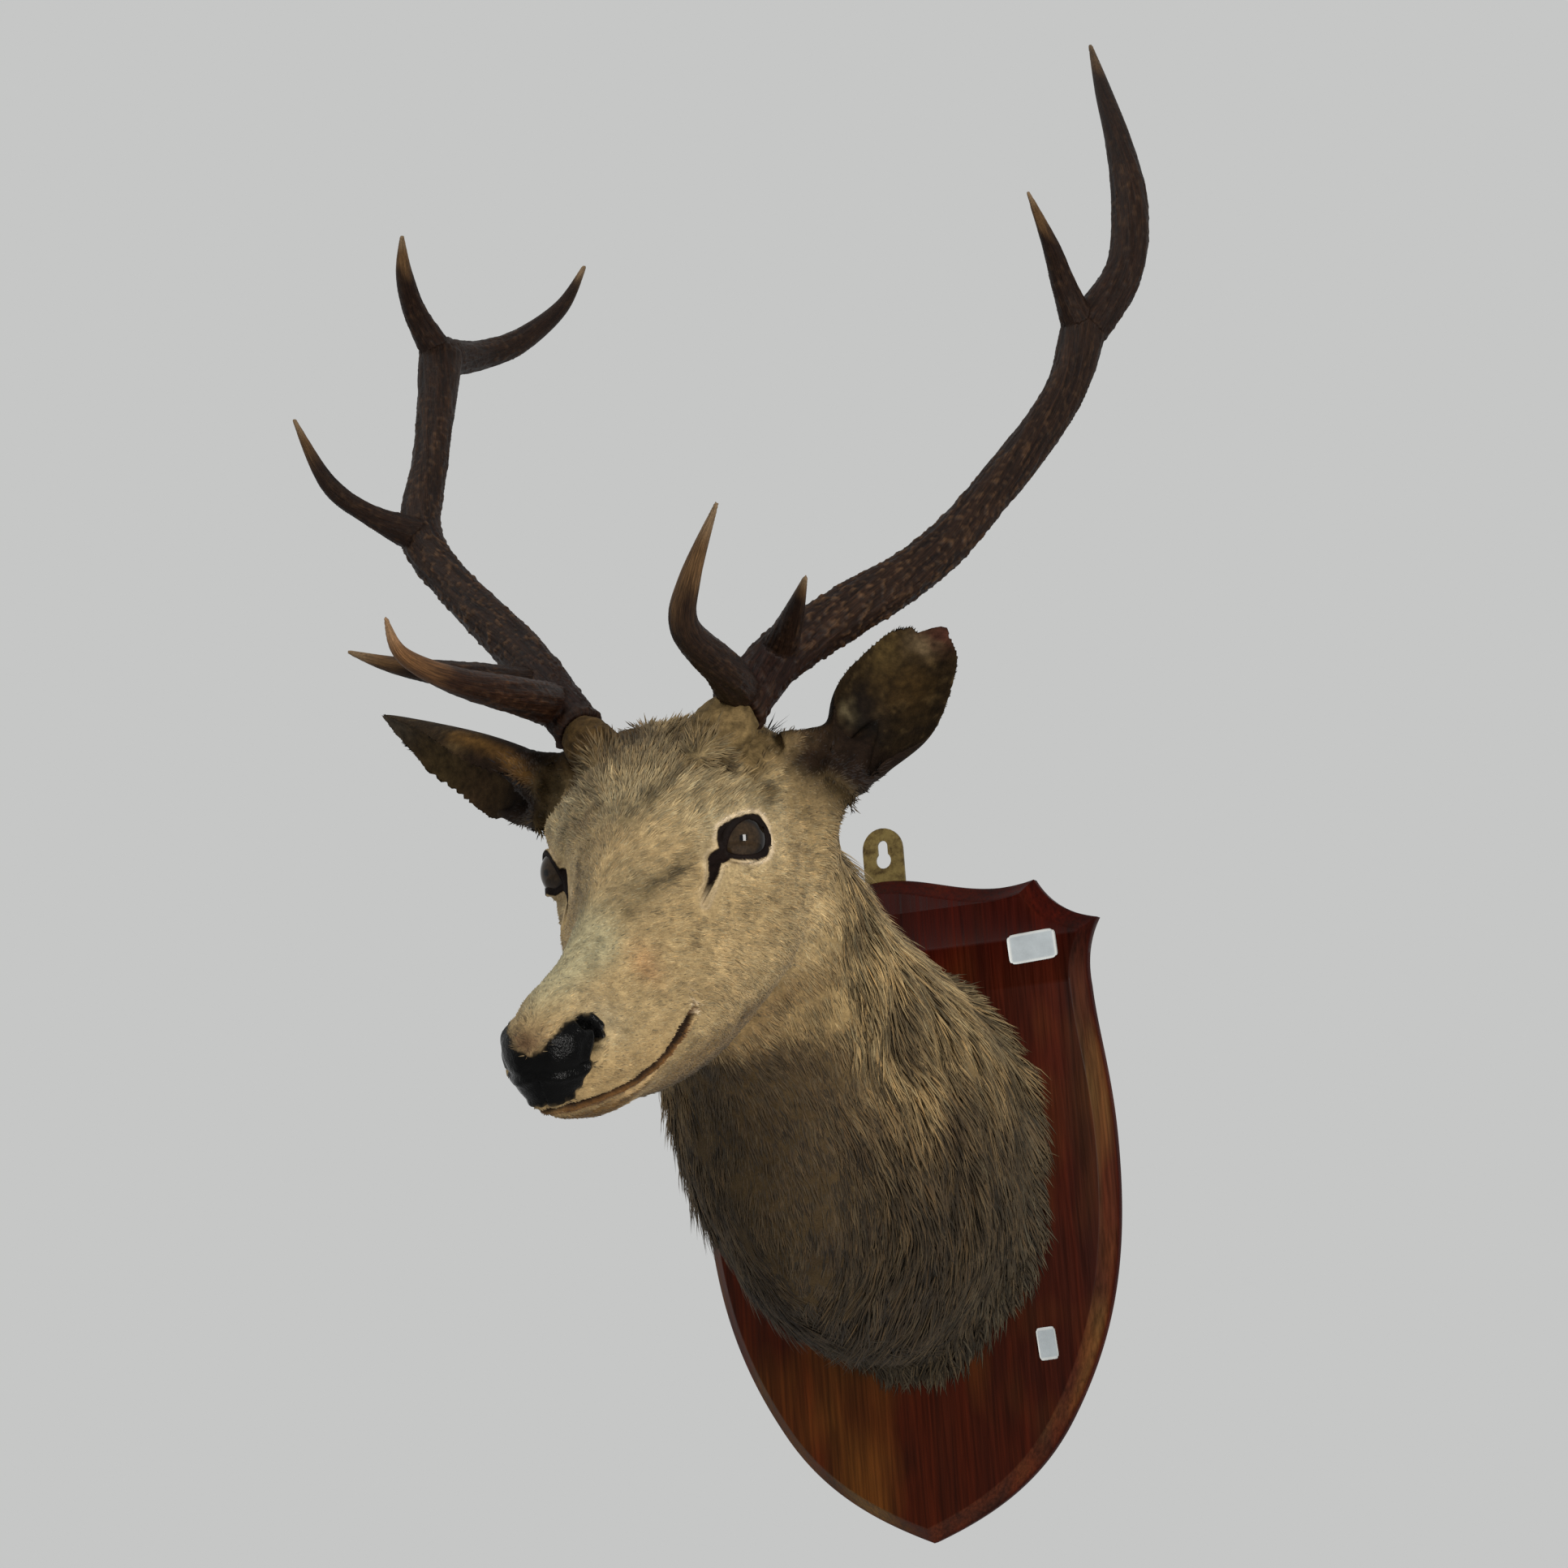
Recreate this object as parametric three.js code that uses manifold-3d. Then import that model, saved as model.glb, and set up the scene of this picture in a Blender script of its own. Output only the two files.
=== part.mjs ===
// Mounted head of a red deer stag on a shield board.
// Millimetres, +Z up. The origin is the centre of the board's back face, +Y runs into the wall,
// the animal looks along -Y and its left side is at +X.
import * as THREE from 'three';
import { mergeVertices } from 'three/addons/utils/BufferGeometryUtils.js';
import Module from 'manifold-3d';

// ---------------------------------------------------------------- driving dimensions
const GAP = 0.3;                    // clearance between touching pieces

const BOARD_THICK = 22;             // back face to front face
const BOARD_EDGE = 10;              // straight part of the edge, behind the chamfer
const BOARD_CHAMFER = BOARD_THICK - BOARD_EDGE;
const BOARD_TOP = 253;              // crest of the outline above the origin
const BOARD_BOTTOM = -254;          // point of the shield
const BOARD_SHOULDER = { x: 125, z: 238.5 };   // small peak beside the crest
const BOARD_DIP = { x: 97, z: 235.5 };
const BOARD_EAR = { x: 173, z: 203.6 };        // outer corner under the hollow shoulder
const BOARD_WAIST = { x: 162, z: 152 };
const BOARD_BELLY = { x: 171, z: 36 };         // widest place

const PLATE_WIDTH = 34;             // brass hanger plate with a keyhole
const PLATE_THICK = 2.4;
const PLATE_BOTTOM = 205;
const PLATE_TOP = 297;
const KEYHOLE_Z = 271;              // centre of the round part
const KEYHOLE_RADIUS = 6.5;
const KEYHOLE_SLOT = 8.6;           // width of the slot above it
const KEYHOLE_TOP = 287;
const SCREW_HEIGHTS = [216, 240];
const SCREW_HEAD = 3.6;             // radius of the countersunk head

const LABEL_THICK = 0.5;
const LABELS = [                    // paper labels on the board's face: centre, size, turn
  { name: 'label_upper', x: 123.5, z: 185.2, width: 39, height: 23, turn: 3 },
  { name: 'label_lower', x: 107.6, z: -112, width: 15, height: 24, turn: 4 },
];

// the head stands on its own axes: x to the animal's left, y back, z up, origin between the eyes
const HEAD_ORIGIN = [19, -463, 218.6];
const HEAD_YAW = 5.1;               // degrees
const HEAD_PITCH = 20.25;
const HEAD_SIDES = 24;
const HEAD_RINGS = 23;
const SECTION_POWER = 2.6;          // roundness of the head's sections
// y station, top and bottom of the section, then half widths at five heights from top to bottom
const HEAD_SECTIONS = [
  [-244, -56, -84, 6, 9, 10, 8, 6],
  [-238, -46, -98, 11, 15, 17, 15, 10],
  [-226, -40, -107, 15, 21.5, 24, 22, 16],
  [-205, -34, -116, 16, 27, 32, 29, 20],
  [-170, -27, -126, 12, 23, 37, 40, 27],
  [-130, -14, -130, 14, 23, 44, 50, 30],
  [-90, 4, -137, 22, 31, 46, 56, 34],
  [-50, 24, -142, 36, 48, 53, 60, 38],
  [-15, 44, -144, 54, 71, 62, 63, 40],
  [20, 62, -144, 62, 84, 76, 68, 42],
  [55, 70, -134, 66, 90, 88, 76, 48],
  [95, 69, -112, 88, 107, 105, 88, 60],
  [132, 40, -74, 50, 80, 86, 74, 48],
];

// the neck runs from the board to the back of the head. Each section plane is set by its lowest and
// highest point in the middle plane [y, z]; then come x of the middle, half widths as for the head
const NECK_SIDES = 24;
const NECK_RINGS = 12;
const NECK_SECTIONS = [
  { low: [-22.3, -128], high: [-22.3, 178], x: 0, half: [92, 116, 118, 110, 70] },
  { low: [-120, -115], high: [-85, 207], x: 1, half: [84, 112, 116, 106, 68] },
  { low: [-230, -92], high: [-165, 231], x: 4, half: [74, 106, 108, 94, 60] },
  { low: [-293, -38], high: [-235, 260], x: 6, half: [60, 98, 98, 76, 42] },
  { low: [-318, 34], high: [-295, 284], x: 9, half: [54, 94, 97, 72, 36] },
  { low: [-366, 92], high: [-352, 298], x: 11, half: [46, 84, 90, 68, 36] },
  { low: [-430, 112], high: [-410, 280], x: 14, half: [30, 48, 54, 46, 26] },
];

// eyes, nose pad, mouth and nostrils, on the head's axes
const EYE = { x: 57, y: 1, z: { left: -3, right: -9 }, radius: 19.5 };   // the right one sits lower
const LIDS = { x: 77, y: -6, rise: 2, deep: 17, long: 24, tall: 14.5, turn: 66 };   // opening before the eye
const NOSE = { y: -242, z: -80, wide: 22, deep: 26, tall: 16 };          // middle of the bare pad
const WING = { x: 20, y: -224, z: -68, wide: 13, deep: 19, tall: 13 };   // its two nostril wings
const NOSTRIL = { x: 22, y: -228, z: -66, wide: 4.5, deep: 11, tall: 6, turn: 30 };
// mouth line [y, z] from the front of the lips to the corner, then round below the jaw
const MOUTH = [[-275, -103], [-236, -102], [-200, -103], [-150, -98], [-125, -89], [-113, -80]];
const JAW_BACK = [[-104, -92], [-92, -150], [-120, -190], [-275, -190]];

// ears: root, then the run of the leaf to its tip, and the way that its hollow faces (head's axes)
const EAR_LENGTH_RINGS = 12;
const EAR_SIDES = 16;
const EARS = {
  left: { root: [97, 92, 4], run: [60, 112, 88], face: [0.35, -0.92, 0.2], tip: 0.3 },
  right: { root: [-88, 90, 50], run: [-146, 60, 38], face: [-0.15, -0.8, -0.58], tip: 0.15 },
};
// leaf: place along it, radius of its roll, half angle of the roll, half thickness
const EAR_ROLL = [
  [0, 18, 2.6, 7],
  [0.15, 21, 2.2, 6.5],
  [0.35, 34, 1.6, 5.5],
  [0.6, 35, 1.22, 4.5],
  [0.85, 30, 0.95, 3.5],
  [1, 24, 0.35, 2],
];

// antlers: [x, y, z, radius] along the middle of each branch, in the part's own frame
const ANTLER_SIDES = 9;
const ANTLER_STEP = 28;             // length of a ring of facets
const BURR = { proud: 1.5, high: 8, knobs: 9, knob: 1.2 };     // knobbed ring, proud of the beam
const PEDICLE = { high: 46, spread: 13, lip: 2 };   // furred stump under each beam
const ANTLERS = {
  left: {
    beam: [[72, -432, 306, 17.5], [90, -400, 344, 17.5], [124, -361, 377, 17.6], [158, -324, 406, 16], [189, -289, 444, 14.8],
      [243, -225, 536, 14], [260, -201, 594, 16]],
    top_rear: [[260, -201, 594, 15.6], [290, -184, 640, 13.6], [297, -174, 694, 12.8], [291, -162, 745, 9.8],
      [279, -146, 797, 6.4], [266, -122, 849, 1.6]],
    top_front: [[260, -201, 594, 13], [257, -225, 623, 8.6], [257, -249, 645, 6], [256, -289, 671, 1.4]],
    brow: [[69, -416, 318, 14.5], [91, -490, 318, 12.4], [99, -561, 329, 9.2], [115, -586, 350, 6.8],
      [149, -614, 385, 1.3]],
    bay: [[84, -398, 342, 12.5], [112, -429, 357, 8.4], [144, -474, 373, 1.4]],
  },
  right: {
    beam: [[-37, -441, 306, 15.5], [-62, -424, 334, 16.2], [-103, -398, 381, 15.8], [-165, -373, 444, 14],
      [-202, -353, 494, 14.6], [-213, -313, 570, 13], [-229, -265, 661, 16]],
    top_rear: [[-229, -265, 661, 15], [-230, -205, 681, 11.4], [-216, -160, 704, 9.6], [-194, -126, 739, 6.2],
      [-178, -111, 776, 1.8]],
    top_front: [[-229, -265, 661, 12.6], [-231, -295, 686, 8.8], [-224, -322, 708, 6.4], [-211, -345, 728, 1.6]],
    brow: [[-62, -424, 331, 14.6], [-56, -488, 325, 12], [-62, -560, 323, 8.6], [-71, -606, 332, 5],
      [-66, -632, 349, 1.3]],
    bay: [[-82, -403, 350, 13.2], [-96, -476, 346, 10], [-113, -543, 344, 5.8], [-124, -582, 347, 1.4]],
    trez: [[-200, -357, 490, 13], [-219, -395, 501, 7.4], [-234, -424, 520, 6.2], [-239, -457, 559, 1.5]],
  },
};

// ---------------------------------------------------------------- solids and joins
const wasm = await Module();
wasm.setup();

function solid(geometry) {
  const bare = geometry.clone();
  bare.deleteAttribute('normal');
  bare.deleteAttribute('uv');
  const merged = mergeVertices(bare, 1e-4);
  const body = new wasm.Manifold(new wasm.Mesh({
    numProp: 3,
    vertProperties: new Float32Array(merged.attributes.position.array),
    triVerts: new Uint32Array(merged.index.array),
  }));
  return body;
}

function geometryOf(body) {
  const mesh = body.getMesh();
  const geometry = new THREE.BufferGeometry();
  geometry.setAttribute('position', new THREE.BufferAttribute(mesh.vertProperties, 3));
  geometry.setIndex(new THREE.BufferAttribute(mesh.triVerts, 1));
  geometry.computeVertexNormals();
  return geometry;
}

// smooth value of a row of numbers at place u, counted in rows
function blend(rows, u) {
  const last = rows.length - 1;
  const i = Math.min(Math.floor(u), last - 1);
  const t = u - i;
  const at = (k) => rows[THREE.MathUtils.clamp(k, 0, last)];
  return rows[0].map((_, c) => {
    const [a, b, d, e] = [at(i - 1)[c], at(i)[c], at(i + 1)[c], at(i + 2)[c]];
    const [m0, m1] = [(d - a) / 2, (e - b) / 2];
    return (2 * t ** 3 - 3 * t ** 2 + 1) * b + (t ** 3 - 2 * t ** 2 + t) * m0
      + (3 * t ** 2 - 2 * t ** 3) * d + (t ** 3 - t ** 2) * m1;
  });
}

// a closed body of rings: place(s, angle, r) gives the point for s 0..1 along, r 0 at the axis, 1 outside
function loft(sides, rings, place) {
  const geometry = new THREE.CylinderGeometry(1, 1, 1, sides, rings);
  const position = geometry.attributes.position;
  const p = new THREE.Vector3();
  for (let i = 0; i < position.count; i += 1) {
    p.fromBufferAttribute(position, i);
    const r = Math.min(1, Math.round(Math.hypot(p.x, p.z) * 1e4) / 1e4);
    const q = place(0.5 - p.y, Math.atan2(p.x, p.z), r);
    position.setXYZ(i, q.x, q.y, q.z);
  }
  const body = solid(geometry);
  return body;
}

// a section of half widths at five heights: half width at height h, from 1 at the top to -1 below
function halfWidth(half, h) {
  const wide = blend(half.map((w) => [w]), (1 - h) * 2)[0];
  return wide * (1 - Math.abs(h) ** SECTION_POWER) ** (1 / SECTION_POWER);
}

// ---------------------------------------------------------------- head and neck
const headPose = new THREE.Matrix4().makeRotationFromEuler(new THREE.Euler(
  THREE.MathUtils.degToRad(HEAD_PITCH), 0, THREE.MathUtils.degToRad(HEAD_YAW), 'ZYX'));
headPose.setPosition(...HEAD_ORIGIN);
const inHead = (x, y, z) => new THREE.Vector3(x, y, z).applyMatrix4(headPose);

function head(grow = 0) {
  const last = HEAD_SECTIONS.length - 1;
  return loft(HEAD_SIDES, HEAD_RINGS, (s, angle, r) => {
    const [y, top, bottom, ...half] = blend(HEAD_SECTIONS, s * last);
    const h = Math.cos(angle);
    const x = -Math.sign(Math.sin(angle)) * (halfWidth(half, h) + (Math.abs(h) < 1 - 1e-6 ? grow : 0));
    const z = (top + bottom) / 2 + h * ((top - bottom) / 2 + grow);
    return inHead(r * x, y + (s < 1e-6 ? -grow : 0), (top + bottom) / 2 + r * (z - (top + bottom) / 2));
  });
}

function neck(grow = 0) {
  const rows = NECK_SECTIONS.map(({ low, high, x, half }) => [...low, ...high, x, ...half]);
  return loft(NECK_SIDES, NECK_RINGS, (s, angle, r) => {
    const [lowY, lowZ, highY, highZ, middle, ...half] = blend(rows, s * (rows.length - 1));
    const low = new THREE.Vector3(middle, lowY, lowZ);
    const high = new THREE.Vector3(middle, highY, highZ);
    const up = high.clone().sub(low).normalize();
    const h = Math.cos(angle);
    const tall = high.distanceTo(low) / 2 + grow;
    const x = Math.sign(Math.sin(angle)) * (halfWidth(half, h) + (Math.abs(h) < 1 - 1e-6 ? grow : 0));
    const q = low.add(high).multiplyScalar(0.5).addScaledVector(up, r * h * tall);
    q.x += r * x;
    return q;
  });
}

// ---------------------------------------------------------------- eyes, nose and jaw
function ball(centre, radii, turn = 0, sides = 10, rings = 6) {
  const geometry = new THREE.SphereGeometry(1, sides, rings);
  geometry.rotateX(Math.PI / 2);
  geometry.scale(...radii);
  geometry.rotateZ(THREE.MathUtils.degToRad(turn));
  geometry.translate(...centre);
  geometry.applyMatrix4(headPose);
  return solid(geometry);
}

const eyeHeight = (side) => (side > 0 ? EYE.z.left : EYE.z.right);
const eye = (side, grow = 0) => ball([side * EYE.x, EYE.y, eyeHeight(side)],
  Array(3).fill(EYE.radius + grow), 0, 12, 8);
const lids = (side) => ball([side * LIDS.x, LIDS.y, eyeHeight(side) + LIDS.rise],
  [LIDS.long, LIDS.deep, LIDS.tall], side * LIDS.turn, 12, 7);
const nosePad = (grow = 0) => [-1, 1].reduce((pad, side) => pad.add(
  ball([side * WING.x, WING.y, WING.z], [WING.wide + grow, WING.deep + grow, WING.tall + grow])),
ball([0, NOSE.y, NOSE.z], [NOSE.wide + grow, NOSE.deep + grow, NOSE.tall + grow]));
const nostril = (side) => ball([side * NOSTRIL.x, NOSTRIL.y, NOSTRIL.z],
  [NOSTRIL.wide, NOSTRIL.deep, NOSTRIL.tall], -side * NOSTRIL.turn, 8, 6);

// everything under the mouth line and in front of the mouth corner
function jawRegion(grow = 0) {
  const shape = new THREE.Shape();
  MOUTH.forEach(([y, z], i) => (i ? shape.lineTo(y, z + grow) : shape.moveTo(y, z + grow)));
  JAW_BACK.forEach(([y, z]) => shape.lineTo(y + grow, z));
  shape.closePath();
  const geometry = new THREE.ExtrudeGeometry(shape, { depth: 200, bevelEnabled: false });
  geometry.translate(0, 0, -100);
  geometry.applyMatrix4(new THREE.Matrix4().makeBasis(
    new THREE.Vector3(0, 1, 0), new THREE.Vector3(0, 0, 1), new THREE.Vector3(1, 0, 0)));
  geometry.applyMatrix4(headPose);
  return solid(geometry);
}

// ---------------------------------------------------------------- ears
// a leaf rolled about its own length: a crescent section that opens from a tube at the root
function ear({ root, run, face, tip }) {
  const axis = new THREE.Vector3(...run);
  const facing = new THREE.Vector3(...face);
  const along = axis.clone().normalize();
  facing.addScaledVector(along, -facing.dot(along)).normalize();
  const across = new THREE.Vector3().crossVectors(along, facing);
  const last = EAR_ROLL.length - 1;
  return loft(EAR_SIDES, EAR_LENGTH_RINGS, (s, angle, r) => {
    const [place, radius, spread, thick] = blend(EAR_ROLL, s * last);
    const roll = r * Math.sin(angle) * spread;
    const deep = radius + r * Math.cos(angle) * thick;
    const slant = tip * radius * s * Math.sin(roll);
    const p = new THREE.Vector3(...root).addScaledVector(axis, place).addScaledVector(along, slant)
      .addScaledVector(facing, radius - deep * Math.cos(roll))
      .addScaledVector(across, deep * Math.sin(roll));
    return inHead(p.x, p.y, p.z);
  });
}

// ---------------------------------------------------------------- antlers
function branch(points, grow = 0) {
  const curve = new THREE.CatmullRomCurve3(points.map(([x, y, z]) => new THREE.Vector3(x, y, z)));
  const rings = Math.max(4, Math.round(curve.getLength() / ANTLER_STEP));
  const radii = points.map(([, , , radius]) => [radius]);
  const frames = curve.computeFrenetFrames(rings, false);
  return loft(ANTLER_SIDES, rings, (s, angle, r) => {
    const i = Math.round(s * rings);
    const radius = blend(radii, curve.getUtoTmapping(i / rings) * (points.length - 1))[0] + grow;
    return curve.getPointAt(i / rings)
      .addScaledVector(frames.normals[i], -r * radius * Math.cos(angle))
      .addScaledVector(frames.binormals[i], r * radius * Math.sin(angle));
  });
}

// turned bodies that stand on the foot of a beam: a profile [radius, height] about the beam's own line
function turned(points, profile, sides, wave = () => 0) {
  const curve = new THREE.CatmullRomCurve3(points.map(([x, y, z]) => new THREE.Vector3(x, y, z)));
  const geometry = new THREE.LatheGeometry(profile.map(([x, y]) => new THREE.Vector2(x, y)), sides);
  const position = geometry.attributes.position;
  for (let i = 0; i < position.count; i += 1) {
    const [x, z] = [position.getX(i), position.getZ(i)];
    const out = 1 + wave(Math.atan2(x, z));
    position.setXYZ(i, x * out, position.getY(i), z * out);
  }
  geometry.applyQuaternion(new THREE.Quaternion().setFromUnitVectors(
    new THREE.Vector3(0, 1, 0), curve.getTangentAt(0)));
  geometry.translate(...curve.getPointAt(0));
  return solid(geometry);
}

function burr(beam, grow = 0) {
  const edge = beam[0][3] + BURR.proud + grow;
  return turned(beam, [[0, -grow], [edge - 2, -grow], [edge, BURR.high / 2], [edge - 2, BURR.high + grow],
    [0, BURR.high + 1 + grow]], 16, (angle) => BURR.knob * Math.cos(BURR.knobs * angle) / edge);
}

function pedicle(beam, grow = 0) {
  const top = beam[0][3] + PEDICLE.lip + grow;
  return turned(beam, [[0, -PEDICLE.high], [top + PEDICLE.spread, -PEDICLE.high],
    [top + PEDICLE.spread / 2, -PEDICLE.high / 2], [top, -5], [top - 4, -GAP + grow], [0, -GAP + grow]], 14);
}

// ---------------------------------------------------------------- shield board and what is on it
// lays an outline drawn in x and z flat against the wall: y runs from back (0) to front (-thick)
const toWall = new THREE.Matrix4().makeRotationX(Math.PI / 2);

function boardOutline() {
  const half = new THREE.Path();
  half.moveTo(0, BOARD_TOP);
  half.bezierCurveTo(34, BOARD_TOP, 62, 236.5, BOARD_DIP.x, BOARD_DIP.z);
  half.quadraticCurveTo(112, 235.5, BOARD_SHOULDER.x, BOARD_SHOULDER.z);
  half.quadraticCurveTo(139, 211, BOARD_EAR.x, BOARD_EAR.z);
  half.quadraticCurveTo(159, 182, BOARD_WAIST.x, BOARD_WAIST.z);
  half.bezierCurveTo(163, 118, BOARD_BELLY.x, 85, BOARD_BELLY.x, BOARD_BELLY.z);
  half.bezierCurveTo(BOARD_BELLY.x, -50, 156, -108, 117, -168);
  half.bezierCurveTo(88, -213, 47, -236, 0, BOARD_BOTTOM);
  const right = half.getPoints(5);
  const left = right.slice(1, -1).reverse().map((p) => new THREE.Vector2(-p.x, p.y));
  return new THREE.Shape([...right, ...left]);
}

// three outlines, at the back, at the foot of the chamfer and on the face, which is drawn in by the chamfer
function board() {
  const depths = [0, -BOARD_EDGE, -BOARD_THICK];
  const geometry = new THREE.ExtrudeGeometry(boardOutline(), { depth: 2, steps: 2, bevelEnabled: false });
  const position = geometry.attributes.position;
  for (let i = 0; i < position.count; i += 1) {
    const layer = Math.round(position.getZ(i));
    const inset = layer === 2 ? BOARD_CHAMFER : 0;
    position.setXYZ(i, position.getX(i) * (1 - inset / BOARD_BELLY.x), depths[layer],
      position.getY(i) * (1 - inset / BOARD_TOP));
  }
  return solid(geometry);
}

function hangerPlate(grow = 0) {
  const half = PLATE_WIDTH / 2 + grow;
  const shape = new THREE.Shape();
  shape.moveTo(-half, PLATE_BOTTOM - grow);
  shape.lineTo(half, PLATE_BOTTOM - grow);
  shape.lineTo(half, PLATE_TOP - half);
  shape.absarc(0, PLATE_TOP + grow - half, half, 0, Math.PI, false);
  shape.closePath();
  if (!grow) {
    const slot = KEYHOLE_SLOT / 2;
    const meet = Math.asin(slot / KEYHOLE_RADIUS);
    const hole = new THREE.Path();
    hole.absarc(0, KEYHOLE_Z, KEYHOLE_RADIUS, Math.PI / 2 + meet, Math.PI * 2.5 - meet, false);
    hole.absarc(0, KEYHOLE_TOP - slot, slot, 0, Math.PI, false);
    shape.holes.push(hole);
    SCREW_HEIGHTS.forEach((z) => {
      const bore = new THREE.Path();
      bore.absarc(0, z, SCREW_HEAD + GAP, 0, Math.PI * 2, false);
      shape.holes.push(bore);
    });
  }
  const geometry = new THREE.ExtrudeGeometry(shape, {
    depth: PLATE_THICK + grow * 2, bevelEnabled: false, curveSegments: 7,
  });
  geometry.translate(0, 0, -grow);
  geometry.applyMatrix4(toWall);
  return solid(geometry);
}

function plateScrew(z) {
  const profile = [[0, -PLATE_THICK], [SCREW_HEAD, -PLATE_THICK], [SCREW_HEAD, 0], [0, 0]];
  const geometry = new THREE.LatheGeometry(profile.map(([x, y]) => new THREE.Vector2(x, y)), 12);
  geometry.translate(0, 0, z);
  return solid(geometry);
}

function label({ x, z, width, height, turn }) {
  const geometry = new THREE.BoxGeometry(width, LABEL_THICK, height);
  geometry.rotateY(THREE.MathUtils.degToRad(turn));
  geometry.translate(x, -BOARD_THICK - GAP - LABEL_THICK / 2, z);
  return solid(geometry);
}

// the largest piece that a cut leaves: the crumbs beside a fork belong to the branch that it was cut by
const largest = (body) => body.decompose().sort((a, b) => b.volume() - a.volume())[0];

// ---------------------------------------------------------------- assembly
const group = new THREE.Group();
function add(name, body, colour, roughness, metalness = 0) {
  const material = new THREE.MeshStandardMaterial({ color: colour, roughness, metalness });
  const mesh = new THREE.Mesh(geometryOf(body), material);
  mesh.name = name;
  group.add(mesh);
}

const COAT = '#a38c66';
const stumps = (grow) => pedicle(ANTLERS.left.beam, grow).add(pedicle(ANTLERS.right.beam, grow));
const wholeHead = head().add(stumps(0));
const headClear = head(GAP).add(stumps(GAP / 2));
const cutJaw = wholeHead.intersect(jawRegion()).subtract(nosePad(GAP));
const skull = [1, -1].reduce((body, side) => body.subtract(eye(side, GAP)).subtract(lids(side)),
  wholeHead.subtract(jawRegion(GAP)).subtract(nosePad(GAP)));
add('head', skull, COAT, 0.9);
add('lower_jaw', cutJaw, '#97805b', 0.9);
add('nose_pad', wholeHead.intersect(nosePad()).subtract(jawRegion(GAP)).subtract(nostril(1))
  .subtract(nostril(-1)), '#16181c', 0.3);
add('eye_left', eye(1), '#1d120b', 0.05);
add('eye_right', eye(-1), '#1d120b', 0.05);
add('neck', neck().subtract(headClear), '#7a6a50', 0.95);

const neckClear = neck(GAP);
Object.entries(EARS).forEach(([side, shape]) => {
  add(`ear_${side}`, largest(ear(shape).subtract(headClear).subtract(neckClear)), '#4d3b26', 0.9);
});

Object.entries(ANTLERS).forEach(([side, branches]) => {
  let clear = headClear;
  Object.entries(branches).forEach(([part, points]) => {
    let body = branch(points);
    if (part === 'beam') body = body.add(burr(points));
    add(`antler_${side}_${part}`, largest(body.subtract(clear)), '#4a3324', 0.6);
    clear = clear.add(branch(points, GAP));
    if (part === 'beam') clear = clear.add(burr(points, GAP));
  });
});

const plateRecess = hangerPlate(GAP);
add('board', board().subtract(plateRecess), '#5c2a17', 0.3);
add('hanger_plate', hangerPlate(), '#8a7a35', 0.35, 0.9);
SCREW_HEIGHTS.forEach((z, i) => add(`plate_screw_${i + 1}`, plateScrew(z), '#9a8d54', 0.3, 0.9));
LABELS.forEach((shape) => add(shape.name, label(shape), '#e9eef0', 0.8));

export default group;
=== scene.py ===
"""Looks of a mounted red deer stag head: one skin with its coat, glass eyes, antlers and a varnished board.

Tables and shapes are in millimetres; make_mesh turns them into metres. The row frame is the CAD's. The
head's own axes are x to the animal's left, y back and z up, with the origin between the eyes.
"""
import math

import bpy
import numpy as np
from mathutils import Matrix, Vector
from mathutils.geometry import tessellate_polygon


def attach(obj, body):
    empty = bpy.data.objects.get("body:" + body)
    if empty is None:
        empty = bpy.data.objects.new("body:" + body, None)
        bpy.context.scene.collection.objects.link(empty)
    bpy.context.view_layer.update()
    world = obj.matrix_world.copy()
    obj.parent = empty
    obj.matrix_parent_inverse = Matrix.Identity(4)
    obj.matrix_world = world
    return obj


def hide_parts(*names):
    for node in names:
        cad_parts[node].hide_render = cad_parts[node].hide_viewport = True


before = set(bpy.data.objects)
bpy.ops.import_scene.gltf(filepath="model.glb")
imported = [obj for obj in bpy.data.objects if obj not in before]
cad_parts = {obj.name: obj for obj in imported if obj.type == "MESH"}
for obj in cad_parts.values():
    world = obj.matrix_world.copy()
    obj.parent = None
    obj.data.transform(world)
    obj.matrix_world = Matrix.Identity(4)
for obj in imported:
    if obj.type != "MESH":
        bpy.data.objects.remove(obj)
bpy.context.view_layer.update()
RNG = np.random.default_rng(20)
BODY = "root"

# ------------------------------------------------------------------ shapes shared with the solids
HEAD_ORIGIN = np.array([19.0, -463.0, 218.6])
HEAD_YAW, HEAD_PITCH = math.radians(5.1), math.radians(20.25)
POWER = 2.6
HEAD_SECTIONS = [  # y, top, bottom, half widths at five heights
    [-244, -56, -84, 6, 9, 10, 8, 6],
    [-238, -46, -98, 11, 15, 17, 15, 10],
    [-226, -40, -107, 15, 21.5, 24, 22, 16],
    [-205, -34, -116, 16, 27, 32, 29, 20],
    [-170, -27, -126, 12, 23, 37, 40, 27],
    [-130, -14, -130, 14, 23, 44, 50, 30],
    [-90, 4, -137, 22, 31, 46, 56, 34],
    [-50, 24, -142, 36, 48, 53, 60, 38],
    [-15, 44, -144, 54, 71, 62, 63, 40],
    [20, 62, -144, 62, 84, 76, 68, 42],
    [55, 70, -134, 66, 90, 88, 76, 48],
    [95, 69, -112, 88, 107, 105, 88, 60],
    [132, 40, -74, 50, 80, 86, 74, 48],
]
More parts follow.
